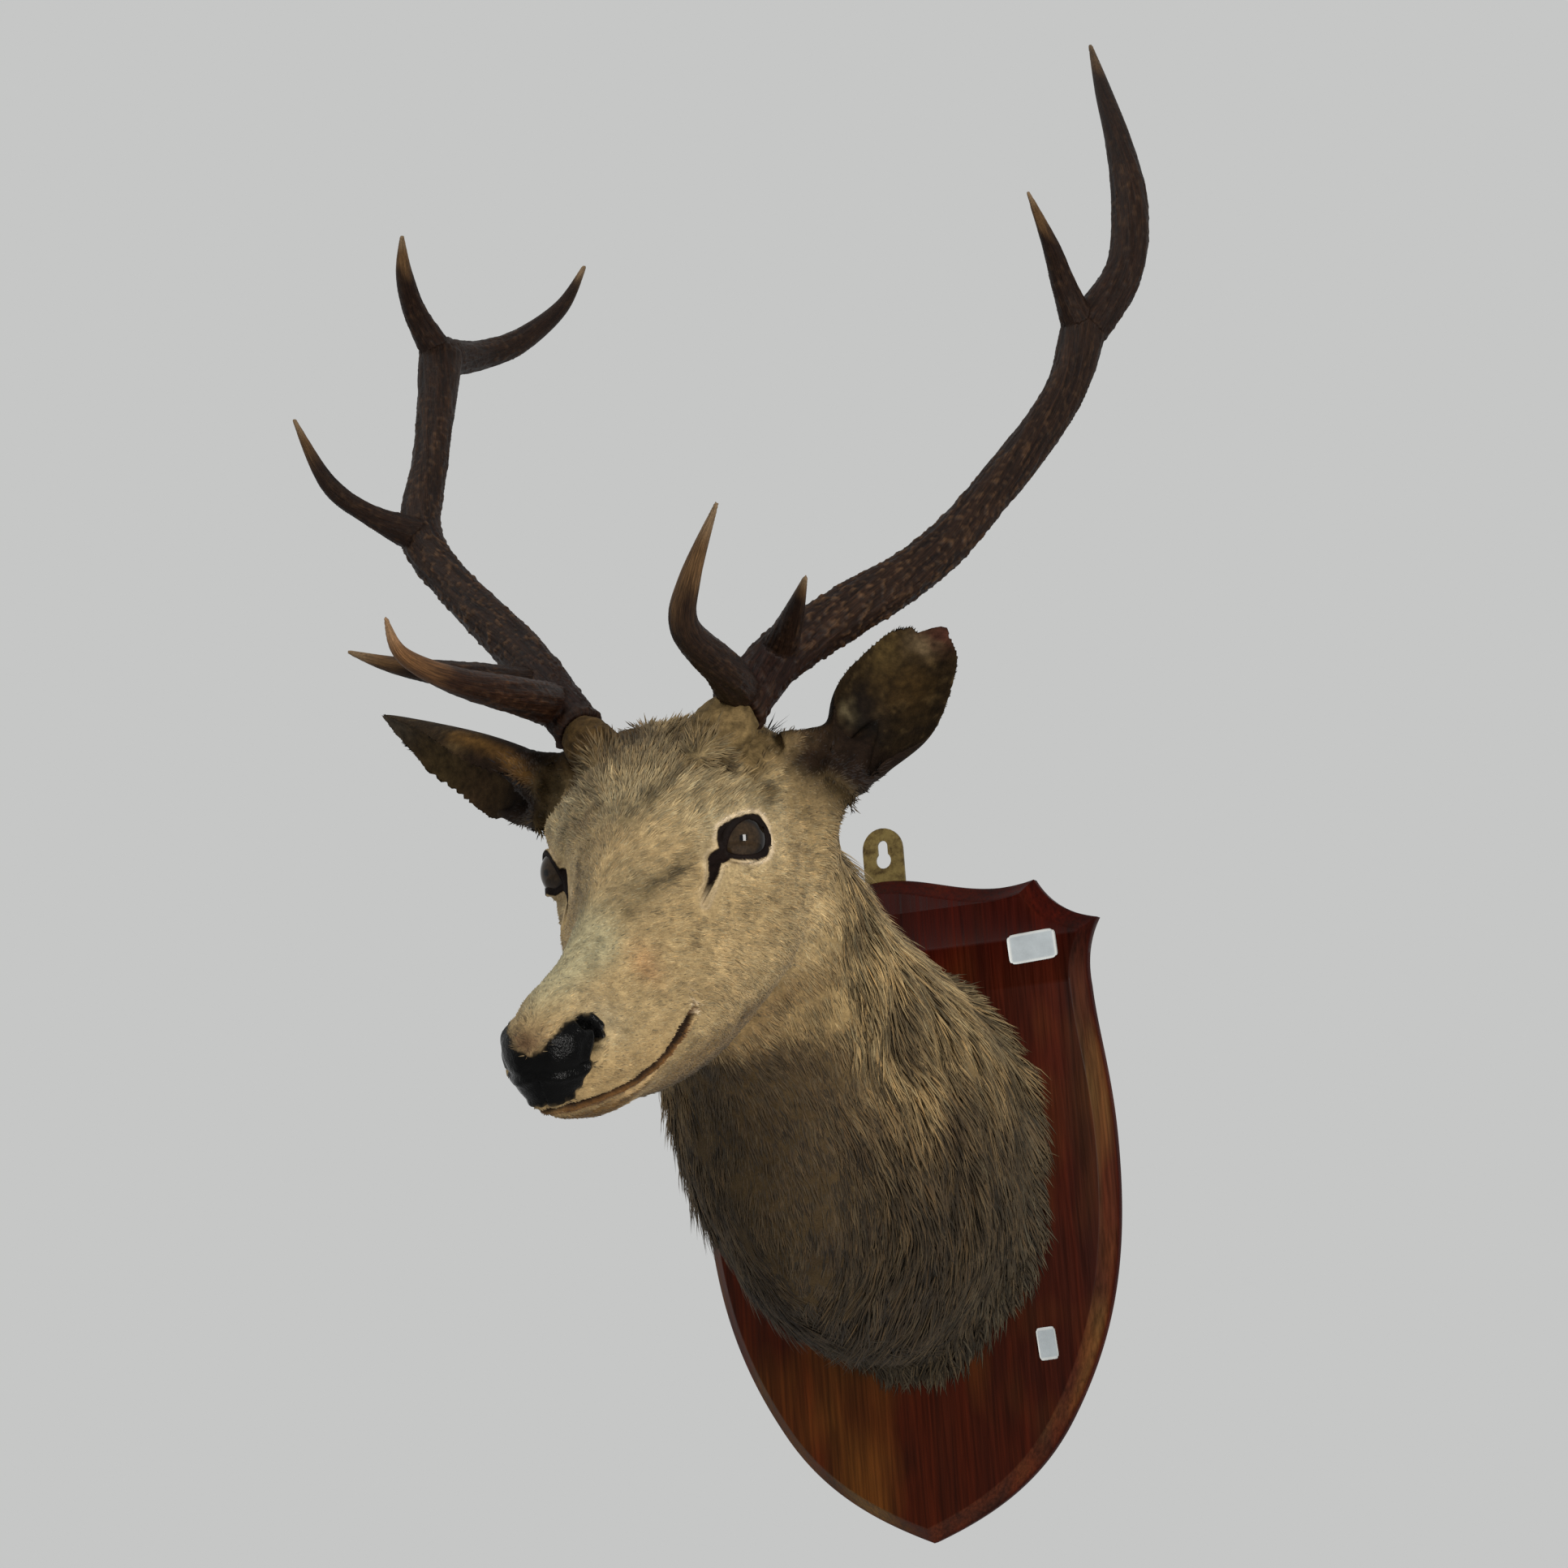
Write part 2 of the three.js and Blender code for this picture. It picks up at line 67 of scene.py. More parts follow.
NECK_SECTIONS = [  # low y, z, high y, z, x of the middle, half widths
    [-14, -128, -14, 178, 0, 92, 116, 118, 110, 70],
    [-120, -115, -85, 207, 1, 84, 112, 116, 106, 68],
    [-230, -92, -165, 231, 4, 74, 106, 108, 94, 60],
    [-293, -38, -235, 260, 6, 60, 98, 98, 76, 42],
    [-318, 34, -295, 284, 9, 54, 94, 97, 72, 36],
    [-366, 92, -352, 298, 11, 46, 84, 90, 68, 36],
    [-430, 112, -410, 280, 14, 30, 48, 54, 46, 26],
]
# sides: 1 is the animal's left, -1 its right
EYE_R = 19.5
EYES = {1: np.array([57.0, 1.0, -3.0]), -1: np.array([-57.0, 1.0, -9.0])}
GAZE = np.array([0.84, -0.53, 0.1])
EARS = {  # root, run to the tip, way the hollow faces, slant of the tip
    1: ([97, 92, 4], [60, 112, 88], [0.35, -0.92, 0.2], 0.3),
    -1: ([-88, 90, 50], [-146, 60, 38], [-0.15, -0.8, -0.58], 0.15),
}
EAR_ROLL = [[0, 18, 2.6, 7], [0.15, 21, 2.2, 6.5], [0.35, 34, 1.6, 5.5], [0.6, 35, 1.22, 4.5],
            [0.85, 30, 0.95, 3.5], [1, 24, 0.35, 2]]
ANTLERS = {
    "left": {
        "beam": [[72, -432, 306, 17.5], [90, -400, 344, 17.5], [124, -361, 377, 17.6], [158, -324, 406, 16],
                 [189, -289, 444, 14.8], [243, -225, 536, 14], [260, -201, 594, 16]],
        "top_rear": [[260, -201, 594, 15.6], [290, -184, 640, 13.6], [297, -174, 694, 12.8],
                     [291, -162, 745, 9.8], [279, -146, 797, 6.4], [266, -122, 849, 1.6]],
        "top_front": [[260, -201, 594, 13], [257, -225, 623, 8.6], [257, -249, 645, 6], [256, -289, 671, 1.4]],
        "brow": [[69, -416, 318, 14.5], [91, -490, 318, 12.4], [99, -561, 329, 9.2], [115, -586, 350, 6.8],
                 [149, -614, 385, 1.3]],
        "bay": [[84, -398, 342, 12.5], [112, -429, 357, 8.4], [144, -474, 373, 1.4]],
    },
    "right": {
        "beam": [[-37, -441, 306, 15.5], [-62, -424, 334, 16.2], [-103, -398, 381, 15.8],
                 [-165, -373, 444, 14], [-202, -353, 494, 14.6], [-213, -313, 570, 13], [-229, -265, 661, 16]],
        "top_rear": [[-229, -265, 661, 15], [-230, -205, 681, 11.4], [-216, -160, 704, 9.6],
                     [-194, -126, 739, 6.2], [-178, -111, 776, 1.8]],
        "top_front": [[-229, -265, 661, 12.6], [-231, -295, 686, 8.8], [-224, -322, 708, 6.4],
                      [-211, -345, 728, 1.6]],
        "brow": [[-62, -424, 331, 14.6], [-56, -488, 325, 12], [-62, -560, 323, 8.6], [-71, -606, 332, 5],
                 [-66, -632, 349, 1.3]],
        "bay": [[-82, -403, 350, 13.2], [-96, -476, 346, 10], [-113, -543, 344, 5.8], [-124, -582, 347, 1.4]],
        "trez": [[-200, -357, 490, 13], [-219, -395, 501, 7.4], [-234, -424, 520, 6.2],
                 [-239, -457, 559, 1.5]],
    },
}


def turn_x(a):
    return np.array([[1, 0, 0], [0, math.cos(a), -math.sin(a)], [0, math.sin(a), math.cos(a)]])


def turn_z(a):
    return np.array([[math.cos(a), -math.sin(a), 0], [math.sin(a), math.cos(a), 0], [0, 0, 1]])


HEAD_TURN = turn_z(HEAD_YAW) @ turn_x(HEAD_PITCH)


def to_row(p):
    return np.asarray(p, float) @ HEAD_TURN.T + HEAD_ORIGIN


def to_head(p):
    return (np.asarray(p, float) - HEAD_ORIGIN) @ HEAD_TURN


# ------------------------------------------------------------------ small mathematics
def unit(v):
    return v / np.maximum(np.linalg.norm(v, axis=-1, keepdims=True), 1e-9)


def step(low, high, x):
    """Smooth 0 to 1 as x goes from low to high, whichever is larger."""
    t = np.clip((np.asarray(x, float) - low) / (high - low), 0, 1)
    return t * t * (3 - 2 * t)


def mix(a, b, t):
    return a + (b - a) * t


def bell(x, wide, middle=0):
    """1 at the middle, falling off on both sides."""
    return np.exp(-(((x - middle) / wide) ** 2))


def distance(p, centre):
    return np.linalg.norm(p - np.asarray(centre, float), axis=-1)


def hermite(a, b, d, e, t):
    m0, m1 = (d - a) / 2, (e - b) / 2
    return ((2 * t**3 - 3 * t**2 + 1) * b + (t**3 - 2 * t**2 + t) * m0 + (3 * t**2 - 2 * t**3) * d
            + (t**3 - t**2) * m1)


def blend_rows(rows, u):
    """Catmull-Rom value of rows at place u, counted in rows."""
    rows = np.asarray(rows, float)
    last = len(rows) - 1
    u = np.asarray(u, float)
    i = np.clip(np.floor(u).astype(int), 0, last - 1)
    a, b, d, e = (rows[np.clip(i + k, 0, last)] for k in (-1, 0, 1, 2))
    return hermite(a, b, d, e, (u - i)[..., None])


def half_width(half, h):
    """Half width at height h (1 top, -1 bottom) of a section with five half widths."""
    u = (1 - h) * 2
    i = np.clip(np.floor(u).astype(int), 0, 3)
    a, b, d, e = (np.take_along_axis(half, np.clip(i + k, 0, 4)[..., None], -1)[..., 0] for k in (-1, 0, 1, 2))
    return hermite(a, b, d, e, u - i) * (1 - np.abs(h) ** POWER) ** (1 / POWER)


SLOPES = np.array([[x, y, z] for x in (-1, 0, 1) for y in (-1, 0, 1) for z in (-1, 0, 1)
                   if abs(x) + abs(y) + abs(z) == 2], float)


def lattice(i, j, k, seed):
    """A random slope for each corner of a lattice."""
    n = (i * 374761393 + j * 668265263 + k * 2147483647 + seed * 1274126177) & 0xFFFFFFFF
    n = ((n ^ (n >> 13)) * 1274126177) & 0xFFFFFFFF
    n = ((n ^ (n >> 16)) * 2246822519) & 0xFFFFFFFF
    return SLOPES[(n >> 8) % 12]


def noise(p, size, seed=0):
    """Smooth gradient noise, about -1 to 1, with bumps about size across."""
    q = np.asarray(p, float) / size
    f = np.floor(q)
    i = f.astype(np.int64)
    t = q - f
    w = t * t * t * (t * (6 * t - 15) + 10)
    total = 0
    for corner in np.ndindex(2, 2, 2):
        weight = np.prod(np.where(corner, w, 1 - w), -1)
        slope = lattice(i[..., 0] + corner[0], i[..., 1] + corner[1], i[..., 2] + corner[2], seed)
        total = total + weight * (slope * (t - corner)).sum(-1)
    return total * 1.45


def layered(p, size, seed=0, octaves=3):
    return sum(noise(p, size / 2**k, seed + k) / 2**k for k in range(octaves)) / (2 - 2 ** (1 - octaves))


def gauss(p, centre, radii):
    q = (p - np.asarray(centre, float)) / np.asarray(radii, float)
    return np.exp(-(q * q).sum(-1))


def along_line(p, points):
    """Distance from p to a polyline, and the place of the nearest point, 0 to 1."""
    points = np.asarray(points, float)
    best = np.full(len(p), 1e9)
    place = np.zeros(len(p))
    n = len(points) - 1
    for i in range(n):
        a, d = points[i], points[i + 1] - points[i]
        t = np.clip((p - a) @ d / max(d @ d, 1e-9), 0, 1)
        away = np.linalg.norm(p - a - t[:, None] * d, axis=1)
        near = away < best
        best[near] = away[near]
        place[near] = (i + t[near]) / n
    return best, place


# ------------------------------------------------------------------ meshes
def make_mesh(name, verts, faces):
    """Mesh object from an array of points in mm and arrays of faces, each of one corner count."""
    if not isinstance(faces, (list, tuple)):
        faces = [faces]
    loops = np.concatenate([f.reshape(-1) for f in faces]).astype(np.int32)
    sizes = np.concatenate([np.full(len(f), f.shape[1], np.int32) for f in faces])
    mesh = bpy.data.meshes.new(name)
    mesh.vertices.add(len(verts))
    mesh.vertices.foreach_set("co", (np.asarray(verts, float) * 0.001).astype(np.float32).ravel())
    mesh.loops.add(len(loops))
    mesh.loops.foreach_set("vertex_index", loops)
    mesh.polygons.add(len(sizes))
    mesh.polygons.foreach_set("loop_start", (np.cumsum(sizes) - sizes).astype(np.int32))
    mesh.polygons.foreach_set("use_smooth", np.ones(len(sizes), bool))
    mesh.update(calc_edges=True)
    mesh.validate()
    thing = bpy.data.objects.new(name, mesh)
    bpy.context.scene.collection.objects.link(thing)
    return thing


def points_of(mesh):
    """Points in mm."""
    verts = np.empty(len(mesh.vertices) * 3, np.float32)
    mesh.vertices.foreach_get("co", verts)
    return verts.reshape(-1, 3).astype(float) * 1000


def corners_of(mesh):
    """The point at each corner of the faces, face after face."""
    loops = np.empty(len(mesh.loops), np.int32)
    mesh.loops.foreach_get("vertex_index", loops)
    return loops


def set_colour(mesh, name, values):
    layer = mesh.color_attributes.new(name, "FLOAT_COLOR", "POINT")
    rgba = np.concatenate([values, np.ones((len(values), 1))], 1).astype(np.float32)
    layer.data.foreach_set("color", rgba.ravel())


def set_value(mesh, name, values):
    mesh.attributes.new(name, "FLOAT", "POINT").data.foreach_set("value", np.asarray(values, np.float32))


def set_vector(mesh, name, values):
    layer = mesh.attributes.new(name, "FLOAT_VECTOR", "POINT")
    layer.data.foreach_set("vector", values.astype(np.float32).ravel())


LEVELS = 8  # steps that a modifier's weights are rounded to


def with_modifier(verts, faces, kind, weights=None, carried=None, **settings):
    """What a modifier makes of a mesh, and of a vector carried by each of its points."""
    thing = make_mesh("scratch", verts, faces)
    if carried is not None:
        set_vector(thing.data, "carried", carried)
    if weights is not None:
        group = thing.vertex_groups.new(name="part")
        levels = np.round(np.clip(weights, 0, 1) * LEVELS).astype(int)
        for level in range(1, LEVELS + 1):
            group.add(np.where(levels == level)[0].tolist(), level / LEVELS, "REPLACE")
        settings["vertex_group"] = "part"
    modifier = thing.modifiers.new("m", kind)
    for key, value in settings.items():
        setattr(modifier, key, value)
    made = thing.evaluated_get(bpy.context.evaluated_depsgraph_get())
    mesh = made.to_mesh()
    result = points_of(mesh), corners_of(mesh).reshape(len(mesh.polygons), -1)
    if carried is not None:
        values = np.empty(len(mesh.vertices) * 3, np.float32)
        mesh.attributes["carried"].data.foreach_get("vector", values)
        result += (values.reshape(-1, 3).astype(float),)
    made.to_mesh_clear()
    bpy.data.objects.remove(thing)
    return result


def remesh(parts, voxel):
    """One closed skin of quads around closed bodies that overlap."""
    verts, faces, base = [], [], 0
    for v, fs in parts:
        verts.append(v)
        faces += [f + base for f in fs]
        base += len(v)
    return with_modifier(np.concatenate(verts), faces, "REMESH", mode="VOXEL", voxel_size=voxel / 1000)


def triangles(faces):
    return faces if faces.shape[1] == 3 else np.concatenate([faces[:, [0, 1, 2]], faces[:, [0, 2, 3]]])


def normals_of(verts, faces):
    t = triangles(faces)
    a, b, c = verts[t[:, 0]], verts[t[:, 1]], verts[t[:, 2]]
    n = np.cross(b - a, c - a)
    out = np.zeros_like(verts)
    for k in range(3):
        for x in range(3):
            out[:, x] += np.bincount(t[:, k], n[:, x], len(verts))
    return unit(out)


def edges_of(faces):
    e = np.concatenate([faces[:, [k, (k + 1) % faces.shape[1]]] for k in range(faces.shape[1])])
    return e[e[:, 0] < e[:, 1]]


def relax(verts, faces, rounds, weight=1.0, shrink=True):
    """Laplacian smoothing; with shrink off, each round is followed by one that swells it again."""
    e = edges_of(faces)
    count = np.bincount(e.ravel(), minlength=len(verts))[:, None]
    weight = np.broadcast_to(np.asarray(weight, float), (len(verts),))[:, None]
    for k in range(rounds if shrink else rounds * 2):
        total = np.zeros_like(verts)
        for x in range(3):
            total[:, x] = (np.bincount(e[:, 0], verts[e[:, 1], x], len(verts))
                           + np.bincount(e[:, 1], verts[e[:, 0], x], len(verts)))
        pull = 0.5 if shrink or k % 2 == 0 else -0.53
        verts = verts + weight * pull * (total / np.maximum(count, 1) - verts)
    return verts


def ring_quads(rings, sides):
    """Quads between closed rings of points, ring after ring."""
    i, j = np.meshgrid(np.arange(rings - 1) * sides, np.arange(sides), indexing="ij")
    after = (j + 1) % sides
    return np.stack([i + j, i + after, i + sides + after, i + sides + j], -1).reshape(-1, 4)


def ring_faces(rings, sides):
    """ring_quads and the fans of triangles that close both ends; the two poles are the last points."""
    j = np.arange(sides)
    after, last = (j + 1) % sides, (rings - 1) * sides
    low = np.stack([np.full(sides, rings * sides), after, j], -1)
    high = np.stack([np.full(sides, rings * sides + 1), last + j, last + after], -1)
    return [ring_quads(rings, sides), low, high]


def loft(place, sides, rings, caps=5):
    """Closed body of rings: place(s, angle, r) for s 0 to 1 along and r 0 at the axis, 1 outside."""
    inner = np.linspace(0, 1, caps, endpoint=False)[1:]
    rims = [*((0, r) for r in inner), *((s, 1) for s in np.linspace(0, 1, rings + 1)),
            *((1, r) for r in inner[::-1])]
    angle = np.linspace(0, 2 * np.pi, sides, endpoint=False)
    s, a = np.meshgrid([k[0] for k in rims], angle, indexing="ij")
    r = np.broadcast_to(np.array([k[1] for k in rims], float)[:, None], s.shape)
    body = place(s, a, r).reshape(-1, 3)
    poles = place(np.array([0.0, 1.0]), np.zeros(2), np.zeros(2))
    return np.concatenate([body, poles]), ring_faces(len(rims), sides)


# ------------------------------------------------------------------ bodies of the skin
def head_place(s, angle, r):
    row = blend_rows(HEAD_SECTIONS, s * (len(HEAD_SECTIONS) - 1))
    y, top, bottom = row[..., 0], row[..., 1], row[..., 2]
    h = np.clip(np.cos(angle), -1, 1)
    x = -np.sign(np.sin(angle)) * half_width(row[..., 3:], h)
    return to_row(np.stack([r * x, y, (top + bottom) / 2 + r * h * (top - bottom) / 2], -1))


def neck_place(s, angle, r):
    row = blend_rows(NECK_SECTIONS, s * (len(NECK_SECTIONS) - 1))
    low = np.stack([row[..., 4], row[..., 0], row[..., 1]], -1)
    high = np.stack([row[..., 4], row[..., 2], row[..., 3]], -1)
    h = np.clip(np.cos(angle), -1, 1)
    x = np.sign(np.sin(angle)) * half_width(row[..., 5:], h)
    q = (low + high) / 2 + (high - low) / 2 * (r * h)[..., None]
    q[..., 0] += r * x
    return q


def ear_frame(side):
    root, run, face, tip = EARS[side]
    root, axis, facing = np.array(root, float), np.array(run, float), np.array(face, float)
    along = unit(axis)
    facing = unit(facing - along * (facing @ along))
    return root, axis, along, facing, np.cross(along, facing), tip


def ear_place(side):
    root, axis, along, facing, across, tip = ear_frame(side)

    def place(s, angle, r):
        row = blend_rows(EAR_ROLL, s * (len(EAR_ROLL) - 1))
        where, radius, spread, thick = (row[..., k] for k in range(4))
        roll = r * np.sin(angle) * spread
        deep = radius + r * np.cos(angle) * np.maximum(thick * 0.55, 1.6)
        slant = tip * radius * s * np.sin(roll)
        return to_row(root + where[..., None] * axis + slant[..., None] * along
                      + (radius - deep * np.cos(roll))[..., None] * facing
                      + (deep * np.sin(roll))[..., None] * across)
    return place


def ball(centre, radii, sides=24, rings=16):
    def place(s, angle, r):
        tall = np.cos(np.pi * (1 - s))
        wide = np.sqrt(np.clip(1 - tall**2, 0, 1)) * r
        q = np.stack([wide * np.cos(angle), wide * np.sin(angle), tall], -1)
        return to_row(q * np.asarray(radii, float) + np.asarray(centre, float))
    return loft(place, sides, rings, caps=2)


def curve_of(points, count):
    """Even points and radii along a Catmull-Rom curve, and its length."""
    fine = blend_rows(points, np.linspace(0, len(points) - 1, 400))
    run = np.concatenate([[0], np.cumsum(np.linalg.norm(np.diff(fine[:, :3], axis=0), axis=1))])
    even = np.linspace(0, run[-1], count)
    return np.stack([np.interp(even, run, fine[:, k]) for k in range(fine.shape[1])], -1), run[-1]


def carried_frames(centres):
    """Tangents and two normals along a curve that don't twist."""
    tangent = unit(np.gradient(centres, axis=0))
    normal = np.zeros_like(tangent)
    first = np.cross(tangent[0], [0.3, 0.2, 1.0])
    normal[0] = first / np.linalg.norm(first)
    for k in range(1, len(centres)):
        n = normal[k - 1] - tangent[k] * (normal[k - 1] @ tangent[k])
        normal[k] = n / np.linalg.norm(n)
    return tangent, normal, np.cross(tangent, normal)


def tube(centres, radii, sides=20, caps=4):
    """Closed tube with the given ring centres and radii."""
    _, normal, side = carried_frames(centres)
    last = len(centres) - 1

    def place(s, angle, r):
        k = np.clip(np.round(s * last).astype(int), 0, last)
        reach = (radii[k] * r)[..., None]
        return (centres[k] + normal[k] * np.cos(angle)[..., None] * reach
                + side[k] * np.sin(angle)[..., None] * reach)
    return loft(place, sides, last, caps)


def beam_foot(side):
    """Place of a beam's foot, way up the beam, and radius."""
    curve, _ = curve_of(ANTLERS[side]["beam"], 40)
    return curve[0, :3], unit(curve[1, :3] - curve[0, :3]), curve[0, 3]


def pedicle(side):
    """Furred stump under a beam."""
    foot, way, radius = beam_foot(side)
    top = radius + 2
    t = np.linspace(0, 1, 24)
    height = mix(-56, -1, t)
    radius = np.interp(height, [-56, -42, -26, -14, -5, -1],
                       [4, top - 3, top + 2, top + 2, top - 0.5, top - 3.5])
    return tube(foot + height[:, None] * way, radius, 28)


base = remesh([loft(head_place, 96, 90), loft(neck_place, 96, 60)], 4.0)
where = to_head(base[0])
throat = gauss(where, [0, 60, -150], [70, 60, 30])
near_board = step(-60, -100, base[0][:, 1])
start = mix(70, 24, step(20, -30, where[:, 2]))
soft = np.clip(0.05 + 0.95 * step(0, 50, where[:, 1] - start) - 0.5 * throat, 0.05, 1) * near_board
base = (relax(base[0], base[1], 34, soft), [base[1]])
parts = [base] + [pedicle(side) for side in ANTLERS] + [loft(ear_place(side), 56, 70) for side in EARS]
# cartilage at the ear's foot and the fold of skin from it to the stump
for rows in ([[74, 72, 44, 9], [88, 82, 42, 11], [104, 106, 34, 12]],
             [[-66, 74, 50, 9], [-80, 82, 48, 12], [-98, 94, 44, 13]],
             [[-142, 101, 21, 3], [-120, 86, 18, 7], [-96, 72, 16, 12]]):
    web = blend_rows(rows, np.linspace(0, 2, 16))
    parts.append(tube(to_row(web[:, :3]), web[:, 3], 20))
for side in EARS:
    foot, axis, _, facing, _, _ = ear_frame(side)
    t = np.linspace(-0.06, 0.42, 16)
    roll = np.interp(t, [row[0] for row in EAR_ROLL], [row[1] for row in EAR_ROLL])
    roll = roll * np.interp(t, [-0.06, 0.04, 0.14, 0.26, 0.42], [0.97, 0.92, 0.6, 0.3, 0.06])
    parts.append(tube(to_row(foot + t[:, None] * axis + roll[:, None] * facing), roll, 24))
parts.append(ball([95, 94, 2], [16, 22, 26]))
parts.append(ball([-84, 90, 36], [16, 18, 22]))
skin, quads = remesh(parts, 1.6)

# ------------------------------------------------------------------ finer triangles where the forms are fine
def refine(verts, tris, chosen):
    """Each chosen triangle becomes four, and its neighbours are split to meet it."""
    edges = np.sort(np.concatenate([tris[:, [0, 1]], tris[:, [1, 2]], tris[:, [2, 0]]]), axis=1)
    keys, inverse = np.unique(edges[:, 0].astype(np.int64) * len(verts) + edges[:, 1], return_inverse=True)
    inverse = inverse.reshape(3, len(tris)).T
    cut = np.zeros(len(keys), bool)
    cut[inverse[chosen].ravel()] = True
    number = np.full(len(keys), -1)
    number[cut] = len(verts) + np.arange(cut.sum())
    ends = np.stack([keys // len(verts), keys % len(verts)], -1)[cut]
    middles = verts[ends].mean(1)
    m = number[inverse]
    count = (m >= 0).sum(1)
    out = [tris[count == 0]]
    full = count == 3
    t, k = tris[full], m[full]
    out += [np.stack([t[:, 0], k[:, 0], k[:, 2]], -1), np.stack([t[:, 1], k[:, 1], k[:, 0]], -1),
            np.stack([t[:, 2], k[:, 2], k[:, 1]], -1), k]
    for turn in range(3):
        t, k = np.roll(tris, -turn, 1), np.roll(m, -turn, 1)
        one = (count == 1) & (k[:, 0] >= 0)
        a, b, c, x = t[one, 0], t[one, 1], t[one, 2], k[one, 0]
        out += [np.stack([a, x, c], -1), np.stack([x, b, c], -1)]
        two = (count == 2) & (k[:, 2] < 0)
        a, b, c, x, y = t[two, 0], t[two, 1], t[two, 2], k[two, 0], k[two, 1]
        out += [np.stack([x, b, y], -1), np.stack([a, x, y], -1), np.stack([a, y, c], -1)]
    return np.concatenate([verts, middles]), np.concatenate(out)


# ------------------------------------------------------------------ the eyes' openings
def gaze_frame(side):
    gaze = unit(GAZE * [side, 1, 1])
    back = unit(np.cross([0, 0, 1.0], gaze) * side)
    return gaze, back, np.cross(gaze, back) * side


RIM = {  # corners of each opening in degrees on the eyeball: towards the back, up
    1: [[-64, -12], [-56, 12], [-38, 33], [-10, 44], [20, 42], [41, 14], [41, -19], [14, -34], [-22, -32],
        [-48, -24]],
    -1: [[-66, -12], [-50, 20], [-22, 41], [14, 40], [42, 14], [43, -18], [14, -34], [-18, -28], [-38, -30],
         [-56, -22]],
}


def closed_curve(points, count):
    points = np.asarray(points, float)
    n = len(points)
    around = points[np.arange(-2, n + 3) % n]
    return blend_rows(around, 2 + np.linspace(0, n, count, endpoint=False))


LID_EDGE = 1.5  # the dark edge of the lids, inside the corners below
EYE_MM = math.radians(EYE_R + 1)  # mm on the rim for one degree


def outside(p, outline):
    """Distance from flat points to an outline, minus inside it."""
    best = np.full(len(p), 1e9)
    inside = np.zeros(len(p), bool)
    for i in range(len(outline)):
        s, e = outline[i - 1], outline[i]
        t = np.clip((p - s) @ (e - s) / max((e - s) @ (e - s), 1e-9), 0, 1)
        best = np.minimum(best, np.linalg.norm(p - s - t[:, None] * (e - s), axis=1))
        cross = (s[1] > p[:, 1]) != (e[1] > p[:, 1])
        at = s[0] + (p[:, 1] - s[1]) / (e[1] - s[1] if e[1] != s[1] else 1e-9) * (e[0] - s[0])
        inside ^= cross & (p[:, 0] < at)
    return np.where(inside, -best, best)


def eye_polar(q, side):
    """Away from the eyeball's centre, degrees back and up, and mm outside the opening (minus: inside)."""
    gaze, back, up = gaze_frame(side)
    v = q - EYES[side]
    away = np.linalg.norm(v, axis=1)
    d = v / np.maximum(away, 1e-6)[:, None]
    a = np.degrees(np.arctan2(d @ back, d @ gaze))
    b = np.degrees(np.arcsin(np.clip(d @ up, -1, 1)))
    near = (away < 60) & (d @ gaze > -0.3)
    out = np.full(len(q), 99.0)
    out[near] = outside(np.stack([a, b], -1)[near], closed_curve(RIM[side], 90)) * EYE_MM + LID_EDGE
    return away, a, b, out


# ------------------------------------------------------------------ forms sculpted on the skin
TEAR = [[56.9, -27.9, -5.8], [53, -32.8, -6.6], [52, -38.2, -15.3], [49.3, -45, -22.8], [48.1, -50.6, -30.9]]
TEAR_WIDE = [4.8, 4.4, 3.0, 1.2, 0.8]
SEEN = unit(np.array([0.317, -0.935, 0.157]))  # the slit and the left eye's edge are drawn as seen along this
SEEN_ACROSS = unit(np.array([0.935, 0.317, 0]))
MOUTH = [[0, -233, -101.5], [9, -230, -102], [16, -217, -102.6], [21.6, -201, -103], [28.5, -186, -103.2],
         [34.7, -176, -101.4], [39.4, -162, -99.2], [43.9, -148, -94.7], [48.2, -133, -87.7],
         [49.8, -111, -82.4]]
STITCH = [[49.8, -111, -82.4], [50.4, -101, -77], [51.5, -94, -70], [51, -92, -64]]
NOSTRIL = [[23, -219, -57], [25.5, -213.5, -58.5], [28.2, -211.6, -63.5], [28.8, -214.3, -70.2],
           [27, -219.2, -76]]
NOSTRIL_EDGE = [[27, -219.2, -78], [21, -229, -79.5], [12, -239, -78.5], [4, -243, -76]]
NOSE_MIDDLE = np.array([0, -205, -78.0])
NOSE_OUTLINE = np.array([  # degrees to the side and up from the middle of the nose
    [-25, 17], [0, 17], [11, 21], [24, 32], [39, 40], [66, 45], [90, 42], [91, 29], [81, 16], [64, 4],
    [50, -11], [39, -24], [30, -33], [0, -31], [-25, -31]], float)


def seen(q):
    """Flat place of head points, as seen from the front."""
    return np.stack([q @ SEEN_ACROSS, q @ np.cross(SEEN, SEEN_ACROSS)], -1)


EYE_SEEN = closed_curve(seen(np.array([  # the dark edge of the left eye
    [54.2, -21.1, 7.9], [55.2, -17.3, 10.6], [62.1, -8.7, 12.6], [68.7, 4.8, 12.2], [73.2, 8.8, 8.2],
    [73.7, 13.5, -1.9], [75.5, 5.8, -13.1], [72.1, -2.6, -15.6], [65.6, -16.3, -12.3], [57.8, -27.6, -6.8],
    [54.5, -25.9, 1.1]])), 66)


def eye_edge(q, now):
    """Distance outside the dark edge of the nearer eye; q is the uncarved place of now, both on the head."""
    edge = eye_polar(q, -1)[3] - 2.5
    left = distance(now, EYES[1]) < 40
    _, back, up, out = eye_polar(q[left], 1)
    inner_lid = 1 + 6 * step(28, 38, back) * step(40, 28, up) * step(-26, -14, up)
    edge[left] = np.minimum(outside(seen(now[left]), EYE_SEEN), out - inner_lid)
    return edge


